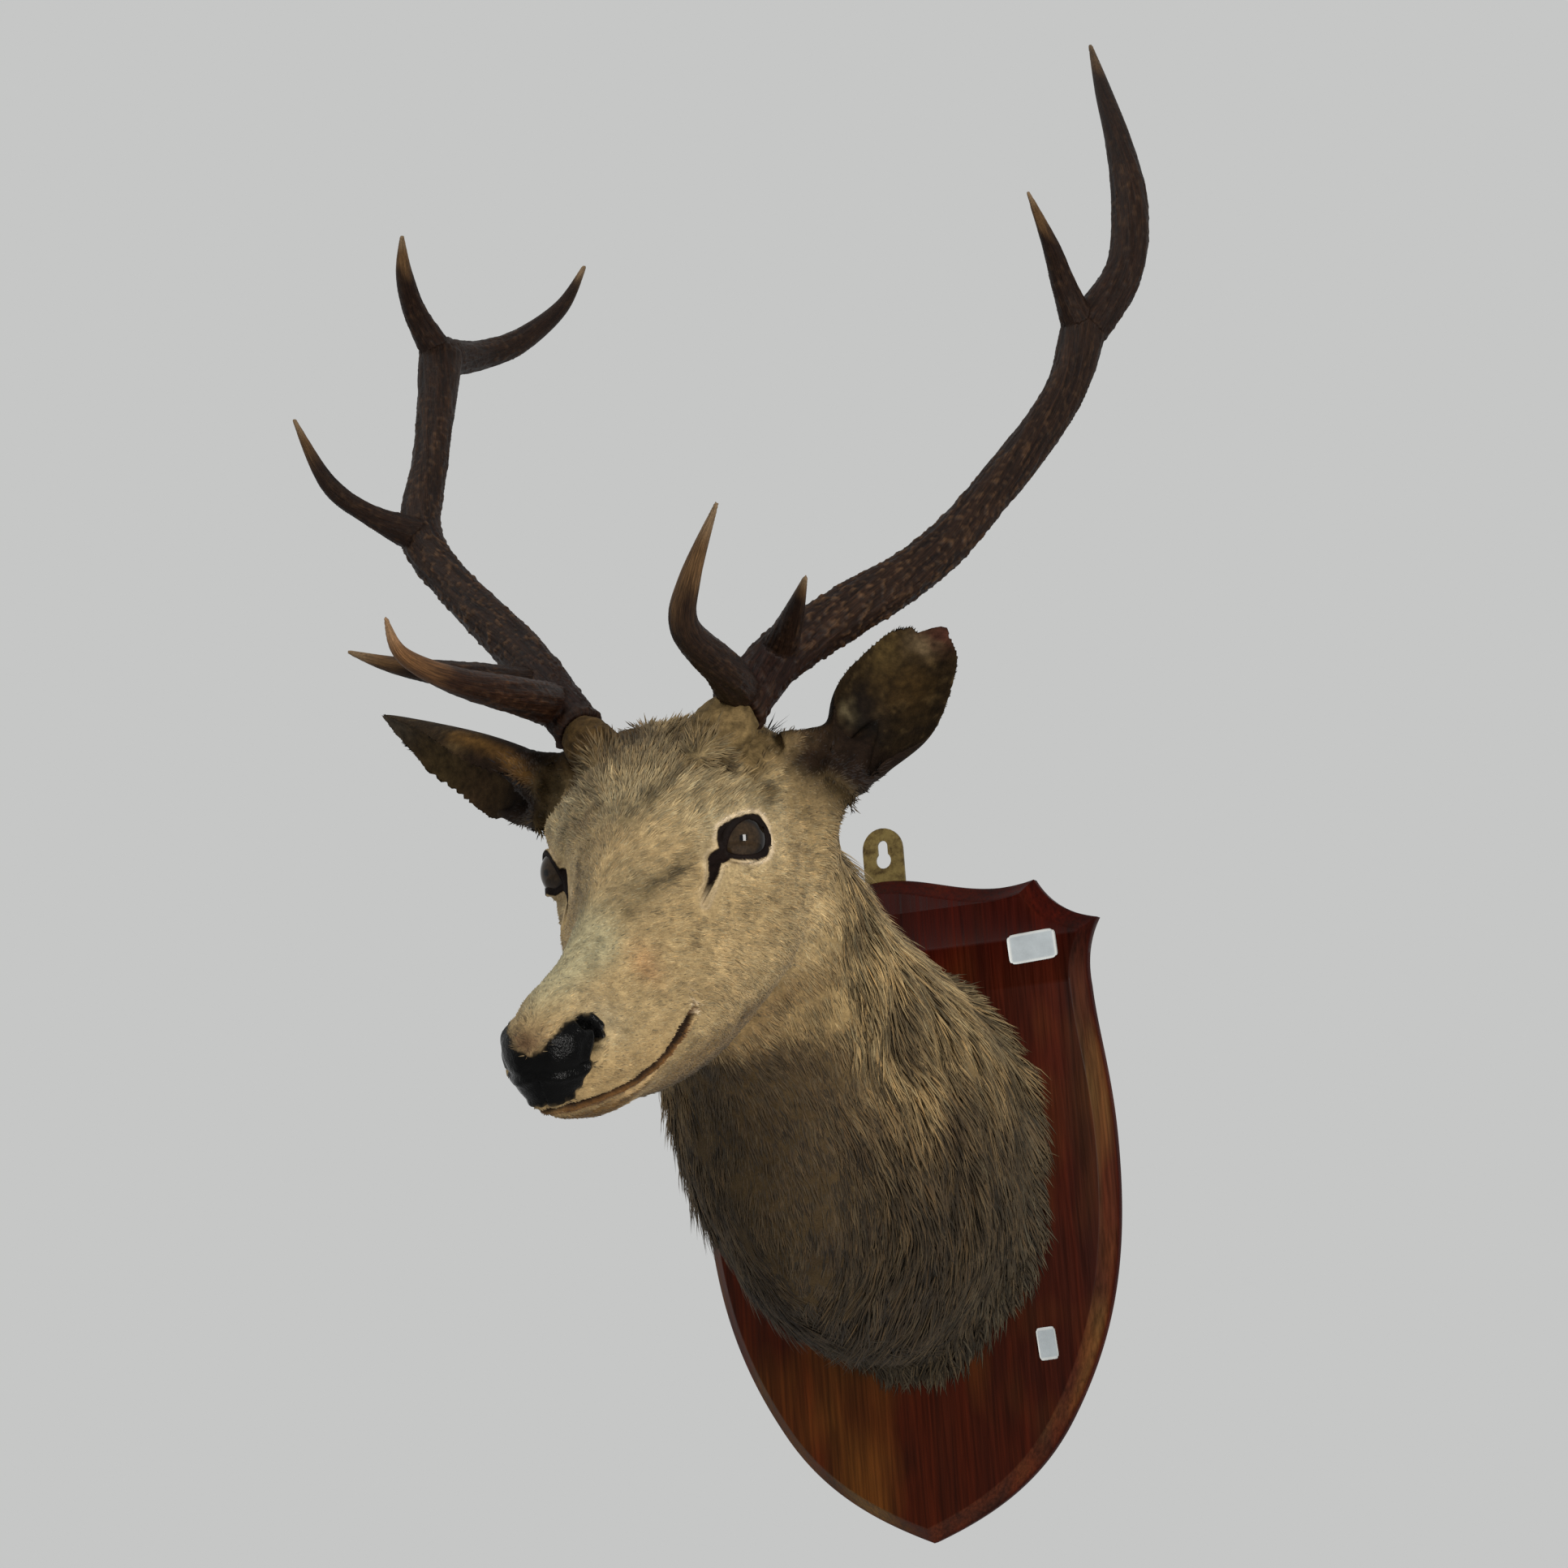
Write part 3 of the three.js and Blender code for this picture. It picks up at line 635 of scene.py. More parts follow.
def outside_tear(q):
    """Distance from the edge of the tear slit, minus inside it, as seen from the front."""
    m = mirrored(q)
    away, place = along_line(seen(m), seen(np.array(TEAR)))
    wide = np.interp(place * (len(TEAR) - 1), range(len(TEAR)), TEAR_WIDE)
    return away - wide + 60 * (np.abs(m @ SEEN - 50) > 34)


def wetness(q):
    """1 on the bare nose, 0 away from it."""
    v = q - NOSE_MIDDLE
    side = np.degrees(np.arctan2(np.abs(v[:, 0]), -v[:, 1]))
    up = np.degrees(np.arcsin(np.clip(v[:, 2] / np.maximum(np.linalg.norm(v, axis=1), 1e-6), -1, 1)))
    near = np.linalg.norm(v, axis=1) < 60
    out = np.full(len(q), 99.0)
    out[near] = outside(np.stack([side, up], -1)[near], NOSE_OUTLINE)
    return step(3, -1.5, out + 2.2 * noise(q, 5, 3) + 1.0 * noise(q, 2.2, 4))


def ear_mask(q):
    """1 on each ear's leaf, 0 on the head, and the place along the ear."""
    mask, place = np.zeros(len(q)), np.zeros(len(q))
    for side in EARS:
        root, axis, along, *_ = ear_frame(side)
        t = (q - root) @ along / np.linalg.norm(axis)
        off = np.linalg.norm(q - root - np.clip(t, 0, 1.1)[:, None] * axis, axis=1)
        here = step(0.02, 0.16, t) * (off < 62) * (np.sign(q[:, 0]) == side)
        mask = np.maximum(mask, here)
        place = np.where(here > 0, np.clip(t, 0, 1.2), place)
    return mask, place


def stump_mask(p):
    """1 on the furred stumps under the beams, in row millimetres."""
    mask = np.zeros(len(p))
    for side in ANTLERS:
        foot, way, _ = beam_foot(side)
        v = p - foot
        t = v @ way
        off = np.linalg.norm(v - t[:, None] * way, axis=1)
        mask = np.maximum(mask, step(-52, -30, t) * step(48, 30, off))
    return mask


def mirrored(q):
    return np.stack([np.abs(q[:, 0]), q[:, 1], q[:, 2]], -1)


def sculpt(skin, tris):
    n = normals_of(skin, tris) @ HEAD_TURN
    q = to_head(skin)
    m = mirrored(q)
    push = np.zeros(len(q))
    # bone and muscle
    for line, high, wide in (
        ([[50, -26, 18], [62, -8, 26], [72, 10, 26], [78, 30, 16]], 5.0, 9),      # brow
        ([[52, -72, -34], [58, -36, -38], [66, 0, -36], [74, 34, -26]], 3.4, 9),  # cheek bone
        ([[20, -225, -45], [17, -180, -33], [17, -130, -20], [26, -80, 0]], 1.4, 7),  # edge of the nose bones
        ([[44, -60, -120], [54, 0, -128], [60, 46, -120]], 2.0, 12),              # edge of the jaw
        ([[70, 78, -90], [80, 82, -50], [88, 84, -20]], -3.0, 6),  # where the jaw meets the throat
        ([[52, 60, -128], [62, 78, -104], [72, 86, -70]], 0.6, 9),
    ):
        away, _ = along_line(m, line)
        push += high * bell(away, wide)
    for centre, radii, high in (
        ([66, 16, -86], [30, 38, 30], 4.0),      # jaw muscle
        ([50, -60, -14], [14, 26, 14], -4.0),    # pit in front of the eye
        ([64, -14, -30], [18, 18, 8], -2.0),     # under the eye
        ([40, -120, -58], [20, 42, 16], -3.4),   # hollow of the muzzle's side
        ([0, 10, 60], [20, 46, 30], -4.0),       # middle of the forehead
        ([33, 2, 56], [16, 24, 20], 2.5),        # bosses of the forehead
        ([0, -60, 22], [16, 30, 20], 1.5),
        ([34, -196, -88], [16, 26, 12], 2.6),    # upper lip
        ([0, -222, -120], [20, 18, 12], 2.4),    # chin
        ([80, 66, -40], [24, 24, 30], -4.0),     # behind the jaw
        ([84, 62, -6], [22, 22, 20], -3.0),      # temple
        ([28, -225, -58], [10, 14, 7], 2.2),     # over the nostril
        ([22, -210, -47], [10, 22, 8], -1.2),
    ):
        push += high * gauss(m, centre, radii)
    # folds over the left eye, and of fur on the forehead
    for line, deep, wide in (
        ([[29.8, 4.2, 47.4], [42.8, 15.7, 46.1], [58.7, 12.6, 43.5], [64.6, 24, 30]], -2.2, 3.2),
        ([[69, 21, 55], [67.5, 24, 45]], -1.8, 2.6),
        ([[6.9, -47, 24.5], [20, -58, 8], [34, -52, -2]], -1.0, 4),
        ([[-11, -18, 41], [-20, 2, 56], [-30, 24, 62]], -1.2, 4),
    ):
        away, _ = along_line(q, line)
        push += deep * bell(away, wide) - 0.35 * deep * bell(away, wide, 2 * wide)
    # mouth and its stitched corner
    away, place = along_line(m, MOUTH)
    below = np.array(MOUTH)[(place * (len(MOUTH) - 1)).astype(int), 2] - q[:, 2]
    push += -5.0 * bell(away, 1.9) + 1.5 * bell(away, 3, 5) * step(-1, 1, -below)
    push += 0.9 * bell(away, 2.6, 4.4) * step(-1, 1, below)
    away, place = along_line(m, STITCH)
    push += -1.6 * bell(away, 1.5) + 0.9 * bell(away, 1.4, 3) * np.sin(place * 30)
    # nostrils and the groove between them
    away, place = along_line(m, NOSTRIL)
    push += -8 * bell(away, mix(3.6, 1.8, place)) + 1.3 * bell(away, 2.4, 6)
    away, _ = along_line(m, NOSTRIL_EDGE)
    push += -1.7 * bell(away, 2.0) + 1.1 * bell(away, 2.4, 4.5) * step(-78, -81, m[:, 2])
    push += 2.4 * gauss(m, [19, -229, -66], [8, 9, 9])
    groove, _ = along_line(m, [[0, -246, -72], [0, -243, -90], [0, -236, -101]])
    push -= 2.2 * bell(groove, 1.3)
    # ripples of the skin
    ears, _ = ear_mask(q)
    tousled = step(-60, 10, q[:, 1]) * step(8, 40, q[:, 2])
    along_fur = q * [1, 0.6, 1]
    push += (1 - ears) * (0.6 * layered(q, 24, 5) + (0.34 + 0.7 * tousled) * noise(along_fur, 8, 9)
                          + (0.22 + 0.3 * tousled) * noise(along_fur, 3.6, 10))
    q = q + n * push[:, None]
    # the left ear's notched tip
    notch = 9 * gauss(q, [150, 200, 98], [7, 7, 7]) - 3 * gauss(q, [164, 204, 90], [8, 8, 8])
    q = q - ear_frame(1)[2] * notch[:, None]
    for side, centre in EYES.items():
        away, a, b, out = eye_polar(q, side)
        near = out < 24
        d = (q[near] - centre) / away[near, None]
        r, o = away[near], out[near]
        fold = 0.9 * bell(o, 1.3, 6.2) + 0.5 * bell(o, 1.5, 10) * (b[near] < 0)  # creases around the lids
        lid = EYE_R + 0.9 + 1.9 * step(0, 3.2, o) + 0.5 * step(0, -3, b[near]) * step(0, 3, o)
        grazed = 1 - step(-84, -60, a[near])  # there the skin runs along the line of sight from the eyeball
        lip = mix(lid, r, np.maximum(step(3.5, 19, o), grazed)) - fold * (1 - grazed)
        well = mix(EYE_R + 0.9, np.minimum(r, EYE_R - 4.5), step(0, 1.7, -o))
        q[near] = centre + d * np.where(o < 0, well, lip)[:, None]
    rim = np.minimum(*[eye_polar(q, side)[3] for side in EYES])
    slit = outside_tear(q)
    sunk = (3.4 * step(0.8, -2.0, slit) * step(1.5, 6, rim)
            - 0.9 * bell(slit, 1.4, 2.4) * step(3, 7, rim))
    ones = np.ones(len(q))
    q = q - np.stack([np.sign(q[:, 0]), ones, ones], -1) * GAZE * sunk[:, None]
    return to_row(q)


tris = triangles(quads)
skin = relax(skin, tris, 2, shrink=False)
q = to_head(skin)
ears, place = ear_mask(q)
joint = np.zeros(len(q))
for centre, radius in (([60, 46, 52], 46), ([90, 84, 36], 40), ([-62, 46, 52], 46), ([-86, 88, 44], 40),
                       ([92, 96, 2], 34), ([-88, 96, 26], 34), ([0, 50, 66], 40)):
    joint = np.maximum(joint, step(1.25, 0.6, distance(q, centre) / radius))
joint = joint * (1 - ears * step(0.16, 0.30, place))
for side in ANTLERS:
    foot, way, _ = beam_foot(side)
    joint = joint * (1 - step(-12, -4, (skin - foot) @ way) * (distance(skin, foot) < 40))
skin = relax(skin, tris, 44, joint)
q = to_head(skin)
away_eye = np.minimum(*[distance(q, centre) for centre in EYES.values()])
fine = (away_eye < 33) | ((q[:, 1] < -196) & (q[:, 2] < -40))
fine |= (along_line(mirrored(q), MOUTH + STITCH)[0] < 8) | (along_line(mirrored(q), TEAR)[0] < 15)
skin, tris = refine(skin, tris, fine[tris].all(1))
rest = skin
skin = sculpt(skin, tris)

# depth of the coat: the skin lies this far inside the solids
NECK_DEPTH, FACE_DEPTH, EAR_DEPTH, STUMP_DEPTH = 9.0, 1.3, 0.5, 1.0


def neck_mask(q):
    """0 on the face, 1 on the long coat of the neck."""
    edge = q[:, 1] - 0.14 * (q[:, 2] + 40) * step(0, -60, q[:, 2])
    return step(50, 128, edge + 9 * noise(q, 26, 11))


def coat_depth(p, q):
    depth = mix(FACE_DEPTH, NECK_DEPTH, neck_mask(q))
    depth = mix(depth, EAR_DEPTH, ear_mask(q)[0])
    depth = mix(depth, STUMP_DEPTH, stump_mask(p)) * (1 - wetness(q))
    for side in EYES:
        depth = depth * step(0.5, 7, eye_polar(q, side)[3])
    return depth * step(1, 6, along_line(mirrored(q), MOUTH)[0])


skin = skin - normals_of(skin, tris) * coat_depth(rest, to_head(rest))[:, None]
behind = skin[:, 1] > -20
skin[behind, 1] = np.minimum(skin[behind, 1], -19.0)

# the plain parts are thinned, the fine ones kept
q = to_head(skin)
ears, _ = ear_mask(q)
plain = np.clip(0.12 + 0.88 * step(40, 110, q[:, 1]), 0, 1) * (1 - 0.9 * ears) * (1 - 0.8 * stump_mask(skin))
plain = np.where(q[:, 1] < 40, 0.10, plain)
slit_near = (np.abs(outside_tear(q)) < 5) & (along_line(mirrored(q), TEAR)[0] < 30)
plain = np.where(slit_near | (np.abs(eye_edge(q, q) - 1) < 5), 0.0, plain)


# ------------------------------------------------------------------ colours, shared by the skin and its coat
WHITE_LIT = 0.95  # how bright pure white looks in the scene's soft light


def tone(red, green, blue):
    """Albedo of a surface that looks this bright, out of 255, in soft light."""
    c = np.array([red, green, blue]) / 255
    return np.where(c < 0.04045, c / 12.92, ((c + 0.055) / 1.055) ** 2.4) / WHITE_LIT


SANDY, PALE, CREAM = tone(147, 127, 94), tone(142, 134, 108), tone(152, 136, 107)
FOREHEAD, CROWN, BROW = tone(144, 128, 98), tone(132, 115, 85), tone(114, 98, 70)
# the throat tone is dark throat fur, and partly painted shade under the jaw
TEMPLE, JAW, THROAT_DARK_AND_SHADE = tone(142, 122, 89), tone(120, 99, 69), tone(66, 53, 35)
LIP, CHIN, INNER_LIP = tone(144, 122, 88), tone(100, 76, 44), tone(92, 62, 32)
DARK, SOOT = tone(34, 24, 17), tone(4, 4, 4)
NECK_RIM = tone(66, 58, 46)
# the neck's tones grow lighter higher up and on the flanks: paler fur on the nape, and partly painted light
# from above
NECK_LEVELS = [-60, 30, 75, 115, 170]  # mm up the row; the flanks count as higher
NECK_TONES = np.array([tone(58, 47, 32), tone(70, 57, 39), tone(92, 76, 53), tone(138, 117, 83),
                       tone(146, 125, 90)])
EAR_LEAF = {1: tone(33, 24, 12), -1: tone(44, 33, 20)}
EAR_MARKS = [  # middle, radius, colour, strength
    ([119, 126, 40], 15, (16, 12, 9), 1.2), ([119, 135, 56], 12, (18, 13, 10), 1.1),
    ([111, 119, 52], 7, (104, 94, 72), 0.7), ([141, 163, 62], 20, (50, 36, 16), 0.8),
    ([101, 89, 46], 10, (92, 76, 56), 0.6), ([162, 200, 87], 13, (60, 34, 27), 1.0),
    ([151, 188, 84], 9, (108, 92, 70), 0.7), ([152, 108, 28], 16, (28, 20, 14), 0.8),
    ([131, 162, 86], 16, (74, 60, 34), 0.6), ([124, 74, 14], 10, (70, 58, 44), 0.5),
    ([-101, 59, 50], 11, (96, 66, 30), 0.9), ([-122, 65, 51], 15, (18, 15, 14), 1.1),
    ([-131, 91, 20], 22, (58, 46, 29), 0.8), ([-162, 120, 35], 22, (66, 50, 34), 0.7),
    ([-197, 136, 51], 26, (74, 60, 38), 0.7), ([-228, 148, 86], 16, (70, 62, 52), 0.8),
]
STUMP = {1: tone(96, 80, 54), -1: tone(70, 54, 32)}
STREAKS = [  # darker fur: line, half width, colour, strength
    ([[-2, -62, 14], [3.9, -48.4, 24.4], [11.3, -32.2, 32.3], [22.7, -15.3, 39.7], [32, 0, 50]], 5,
     (70, 60, 42), 0.75),
    ([[17, -106.7, -21], [22, -88, -15], [29.3, -67.9, -9.2], [35, -54, -4.1], [41, -39, 4]], 6,
     (92, 80, 58), 0.6),
    ([[27, -72, -11], [36, -52, -4]], 4.5, (60, 52, 38), 0.7),
    ([[66, 60, 58], [62, 36, 58], [67, 24, 50], [66, 22, 38]], 5, (48, 35, 20), 0.9),
    ([[64, 16, 44], [50, 14, 46], [40, 14, 47], [30, 4, 47]], 5.5, (62, 47, 27), 0.9),
    ([[11, 3, 52], [20, 30, 66], [24, 60, 70]], 6, (96, 82, 58), 0.4),
    ([[-22, -20, 38], [-30, 4, 50], [-30, 40, 66]], 7, (84, 70, 50), 0.55),
    ([[-24, -74, -6.5], [-30, -52, 6]], 5, (84, 72, 54), 0.6),
    ([[60, -60, -62], [66, -30, -66], [70, 6, -62]], 5, (116, 94, 66), 0.45),
    ([[54, -100, -66], [60, -70, -84], [64, -36, -92]], 6, (122, 100, 72), 0.4),
    ([[46, -34, -106], [52, -12, -110], [58, 12, -108]], 6, (60, 46, 30), 0.6),
]


def lay(colour, over, amount):
    return colour + (over - colour) * np.clip(amount, 0, 1)[:, None]


def paint(p, now):
    """Colours of the animal at row points p, which carving has moved to now, with painted shade and light in
    places.
    """
    q = to_head(p)
    m = mirrored(q)
    x, y, z = q.T
    c = np.tile(SANDY, (len(p), 1))
    # face
    c = lay(c, tone(116, 102, 77), gauss(m, [14, -88, -8], [18, 44, 18]) * 0.9)
    c = lay(c, PALE, step(-96, -140, y) * step(-52, -32, z) * step(26, 12, m[:, 0]))
    c = lay(c, CREAM, gauss(m, [26, -196, -62], [22, 26, 16]) * 0.9)
    c = lay(c, LIP, step(-120, -160, y) * step(-72, -90, z) * 0.8)
    c = lay(c, FOREHEAD, step(-64, -20, y) * step(0, 26, z))
    c = lay(c, CROWN, step(-30, 20, y) * step(34, 52, z))
    c = lay(c, tone(76, 64, 46), gauss(q, [0, 40, 66], [34, 26, 30]) * 0.8)
    c = lay(c, BROW, gauss(m, [60, -18, 24], [22, 18, 11]) * 0.9)
    c = lay(c, TEMPLE, step(30, 60, y) * step(-70, -40, z))
    c = lay(c, JAW, step(-92, -118, z) * step(-150, -110, y) * 0.9)
    # darker under the jaw: dark fur, and partly painted shade where the head shades itself
    c = lay(c, THROAT_DARK_AND_SHADE, step(-122, -142, z) * step(-180, -120, y) * step(46, 10, y) * 0.9)
    # mouth
    away, place = along_line(m, MOUTH)
    drop = np.interp(y, [-232, -200, -176, -148, -111], [-101.6, -103, -101.4, -94.7, -82.4]) - z
    lip = drop / np.interp(y, [-232, -200, -165, -140, -125, -108], [6, 9, 9.5, 5, 2.6, 1.2])
    here = step(-98, -108, y) * step(-240, -225, y)
    c = lay(c, CHIN, here * step(0.8, 1.3, lip) * step(34, 20, drop) * step(-140, -176, y))
    above = step(0.7, 0.95, lip) * step(1.7, 1.3, lip)
    c = lay(c, tone(178, 150, 110), here * above * step(-196, -172, y) * 0.9)
    c = lay(c, INNER_LIP, here * step(-0.1, 0.1, lip) * step(0.95, 0.6, lip) * 0.95)
    # painted shade: the dark gap where the lips part, in the back of the mouth
    c = lay(c, DARK, here * step(-0.1, 0.0, lip) * step(0.42, 0.2, lip) * step(-200, -180, y))
    c = lay(c, DARK, step(3.2, 1.4, away))
    stitched, at = along_line(m, STITCH)
    c = lay(c, tone(70, 48, 30), step(2.6, 1.2, stitched) * 0.8)
    c = lay(c, tone(206, 186, 158), bell(stitched, 1.5, 3) * step(0.1, 0.6, np.sin(at * 26)) * 0.9)
    # streaks of darker fur
    warped = q + 3.5 * np.stack([noise(q, 11, 25 + k) for k in range(3)], -1)
    for line, wide, colour, amount in STREAKS:
        away, _ = along_line(warped, line)
        c = lay(c, tone(*colour), bell(away, wide) * amount * (1 + 0.5 * noise(q, 6, 29)))
    # darker and paler blotches; the pale one above the right eye is painted light on the side in shade
    for centre, radius, colour, amount in (
        ([66, 22, 46], 8, (66, 48, 28), 0.6), ([29, -118, -48], 12, (150, 116, 82), 0.5),
        ([52, -26, 18], 10, (160, 146, 116), 0.6), ([74, 21, 20], 13, (84, 70, 46), 0.8),
        ([-4, -36, 31], 12, (108, 97, 74), 0.5), ([88, 57, 8], 14, (104, 88, 62), 0.6),
        ([78, 61, -70], 18, (184, 160, 120), 0.6), ([41, 2, 72], 14, (150, 132, 98), 0.6),
        ([58, -42, -66], 22, (172, 148, 110), 0.35), ([47, 17, 46], 8, (60, 46, 26), 0.5),
        # painted light: the first blotch below, above the right eye, lightens the side in shade
        ([-52, 0, 30], 18, (172, 156, 124), 0.6), ([30, 20, 70], 16, (70, 56, 36), 0.6),
        ([-18, 16, 66], 14, (74, 60, 40), 0.6), ([-30, -30, 26], 10, (90, 72, 52), 0.4),
        ([-40, -110, -30], 12, (120, 98, 70), 0.4),
    ):
        spread = gauss(q + 3 * np.stack([noise(q, 9, 21 + k) for k in range(3)], -1), centre, [radius] * 3)
        c = lay(c, tone(*colour), spread * amount * 1.5)
    # pale ring around each eye, dark rims, tear slits
    edge = eye_edge(q, to_head(now)) + 0.35 * noise(q, 4, 2)
    slit = outside_tear(to_head(now)) + 0.35 * noise(q, 3, 4)
    both = np.minimum(edge, slit + 0.2)
    ring = bell(both, 1.4, 1.9) * mix(0.3, 0.8, step(4, 9, slit)) * np.where(x > 0, 1, 0.5)
    c = lay(c, tone(158, 143, 114), bell(edge, 5, 6) * 0.4)
    c = lay(c, tone(200, 182, 158), ring)
    c = lay(c, tone(17, 10, 8), step(0.8, 0.0, both))
    # neck
    neck = step(62, 112, q[:, 1] + 7 * noise(q, 26, 11) + 0.30 * np.clip(-z - 90, -60, 60)
                + 60 * step(-143, -163, z + 6 * noise(q, 14, 13)))
    # darker in front under the jaw and lower down: darker fur, and partly painted shade under the jaw
    front = step(-270, -335, p[:, 1]) * step(101, 83, p[:, 2] - 0.1 * p[:, 0] + 7 * noise(p, 14, 37))
    level = (p[:, 2] - 62 * front + 0.5 * (np.minimum(np.abs(p[:, 0]), 90) - 56) + 22 * layered(p, 70, 31)
             + 9 * noise(p, 18, 33))
    coat = np.stack([np.interp(level, NECK_LEVELS, NECK_TONES[:, k]) for k in range(3)], -1)
    bib = step(-210, -290, p[:, 1]) * step(74, 50, p[:, 2]) * step(70, 30, np.abs(p[:, 0]))
    coat = lay(coat, tone(56, 45, 30), bib * 0.6)
    coat = lay(coat, NECK_RIM, step(-130, -40, p[:, 1] + 16 * noise(p, 30, 39)) * 0.62)
    # pale patch high on the left of the neck behind the jaw: sandy fur, and partly a painted highlight
    coat = lay(coat, tone(164, 140, 100), gauss(p, [88, -338, 134], [26, 26, 30]) * 0.5)
    coat = lay(coat, tone(40, 31, 22), step(0.15, 0.7, layered(p * [1, 1, 0.4], 40, 35)) * 0.55)
    coat = lay(coat, tone(78, 64, 44), gauss(p, [100, -250, 110], [60, 50, 34]) * 0.6)
    # darker throat under the jaw: dark fur, and partly painted shade
    coat = lay(coat, THROAT_DARK_AND_SHADE, gauss(q, [0, 60, -176], [60, 34, 30]) * 0.85)
    c = lay(c, coat, neck)
    # stumps under the antlers
    stump = stump_mask(p)
    c = lay(c, np.where(x[:, None] > 0, STUMP[1], STUMP[-1]), stump)
    # ears
    ears, _ = ear_mask(q)
    leaf = np.where(x[:, None] > 0, EAR_LEAF[1], EAR_LEAF[-1])
    leaf = lay(leaf, tone(84, 68, 44), step(0.1, 0.6, layered(q, 9, 43)) * 0.36)
    leaf = lay(leaf, tone(22, 16, 11), step(0.1, 0.6, layered(q, 10, 44)) * 0.5)
    band, _ = along_line(q, [[-150, 79, 82], [-118, 71, 66], [-101, 59, 50]])
    leaf = lay(leaf, tone(96, 72, 40), bell(band, 8) * 0.7)
    for centre, radius, colour, amount in EAR_MARKS:
        leaf = lay(leaf, tone(*colour), gauss(q + 3 * noise(q, 8, 45)[:, None], centre, [radius] * 3) * amount)
    c = c + (leaf - c) * ears[:, None]
    # painted shade: skin and fur are darkened around each ear's foot, where ear and head meet
    for side in EARS:
        foot, _, along, facing, _, _ = ear_frame(side)
        v = q - foot - 14 * facing
        t = v @ along
        off = np.linalg.norm(v - t[:, None] * along, axis=1) + 4 * noise(q, 9, 47)
        c = lay(c, tone(27, 18, 12), step(-32, 2, t) * step(54, 28, off) * (1 - step(34, 56, t)))
    c = lay(c, tone(100, 72, 36), bell(band, 6.5) * 0.65)
    # painted shade between each ear's foot and the antler's stump
    c = lay(c, tone(50, 37, 24), gauss(q, [88, 80, 50], [22, 18, 16]) * 0.8)
    c = lay(c, tone(60, 46, 30), gauss(q, [-72, 78, 56], [16, 18, 16]) * 0.6)
    c = lay(c, SOOT, wetness(q))
    # painted shade: the front of the muzzle on the animal's right, the side turned from the light, is browner
    # and darker
    c = lay(c, tone(84, 64, 48), gauss(q, [-4, -244, -59], [14, 11, 9]) * (1 - wetness(q)) * 0.95)
    # mottling
    grain = q * [1.0, 0.55, 1.0]
    rough = 1 + 0.8 * step(-60, 20, y) * step(0, 40, z)
    shade = 1 + 0.16 * layered(q, 26, 51) + (0.21 * noise(grain, 7, 55) + 0.2 * noise(grain, 3.2, 57)) * rough
    return np.clip(c * np.clip(shade, 0.4, 1.6)[:, None] * [1.0, 0.98, 0.9], 0.0015, 0.9)


# ------------------------------------------------------------------ materials
class Shader:
    """Short names for building a node tree."""

    def __init__(self, name, **fixed):
        self.material = bpy.data.materials.new(name)
        self.material.use_nodes = True
        self.tree = self.material.node_tree
        self.surface = self.tree.nodes["Principled BSDF"]
        for key, value in fixed.items():
            self.surface.inputs[key.replace("_", " ")].default_value = value

    def node(self, kind, **settings):
        made = self.tree.nodes.new(kind)
        for key, value in settings.items():
            setattr(made, key, value)
        return made

    def link(self, source, target):
        self.tree.links.new(source, target)

    def feed(self, socket, value):
        if hasattr(value, "is_output"):
            self.link(value, socket)
        else:
            socket.default_value = value

    def attribute(self, name, output="Color"):
        return self.node("ShaderNodeAttribute", attribute_name=name).outputs[output]

    def place(self, scale=(1, 1, 1), turn=(0, 0, 0)):
        mapping = self.node("ShaderNodeMapping")
        mapping.inputs["Scale"].default_value = scale
        mapping.inputs["Rotation"].default_value = turn
        self.link(self.node("ShaderNodeTexCoord").outputs["Object"], mapping.inputs["Vector"])
        return mapping.outputs["Vector"]

    def noise(self, vector, scale, detail=4, rough=0.6, distortion=0.0):
        made = self.node("ShaderNodeTexNoise")
        self.link(vector, made.inputs["Vector"])
        for key, value in (("Scale", scale), ("Detail", detail), ("Roughness", rough),
                           ("Distortion", distortion)):
            made.inputs[key].default_value = value
        return made.outputs["Fac"]

    def ramp(self, value, low, high, to_low=0.0, to_high=1.0):
        made = self.node("ShaderNodeMapRange")
        self.feed(made.inputs["Value"], value)
        for key, number in (("From Min", low), ("From Max", high), ("To Min", to_low), ("To Max", to_high)):
            made.inputs[key].default_value = number
        return made.outputs["Result"]

    def math(self, operation, a, b):
        made = self.node("ShaderNodeMath", operation=operation)
        self.feed(made.inputs[0], a)
        self.feed(made.inputs[1], b)
        return made.outputs[0]

    def mix(self, amount, a, b, blend="MIX"):
        made = self.node("ShaderNodeMix", data_type="RGBA", blend_type=blend)
        self.feed(made.inputs["Factor"], amount)
        self.feed(made.inputs[6], a)
        self.feed(made.inputs[7], b)
        return made.outputs[2]

    def bump(self, height, strength, distance):
        made = self.node("ShaderNodeBump")
        made.inputs["Strength"].default_value = strength
        made.inputs["Distance"].default_value = distance
        self.link(height, made.inputs["Height"])
        self.link(made.outputs["Normal"], self.surface.inputs["Normal"])

    def colour(self, value):
        self.feed(self.surface.inputs["Base Color"], value)

    def painted(self, shade):
        """The painted colours, times a shade."""
        self.colour(self.mix(1.0, self.attribute("paint"), shade, "MULTIPLY"))

    def rough(self, value):
        self.feed(self.surface.inputs["Roughness"], value)


def grey(value):
    return (value, value, value, 1)


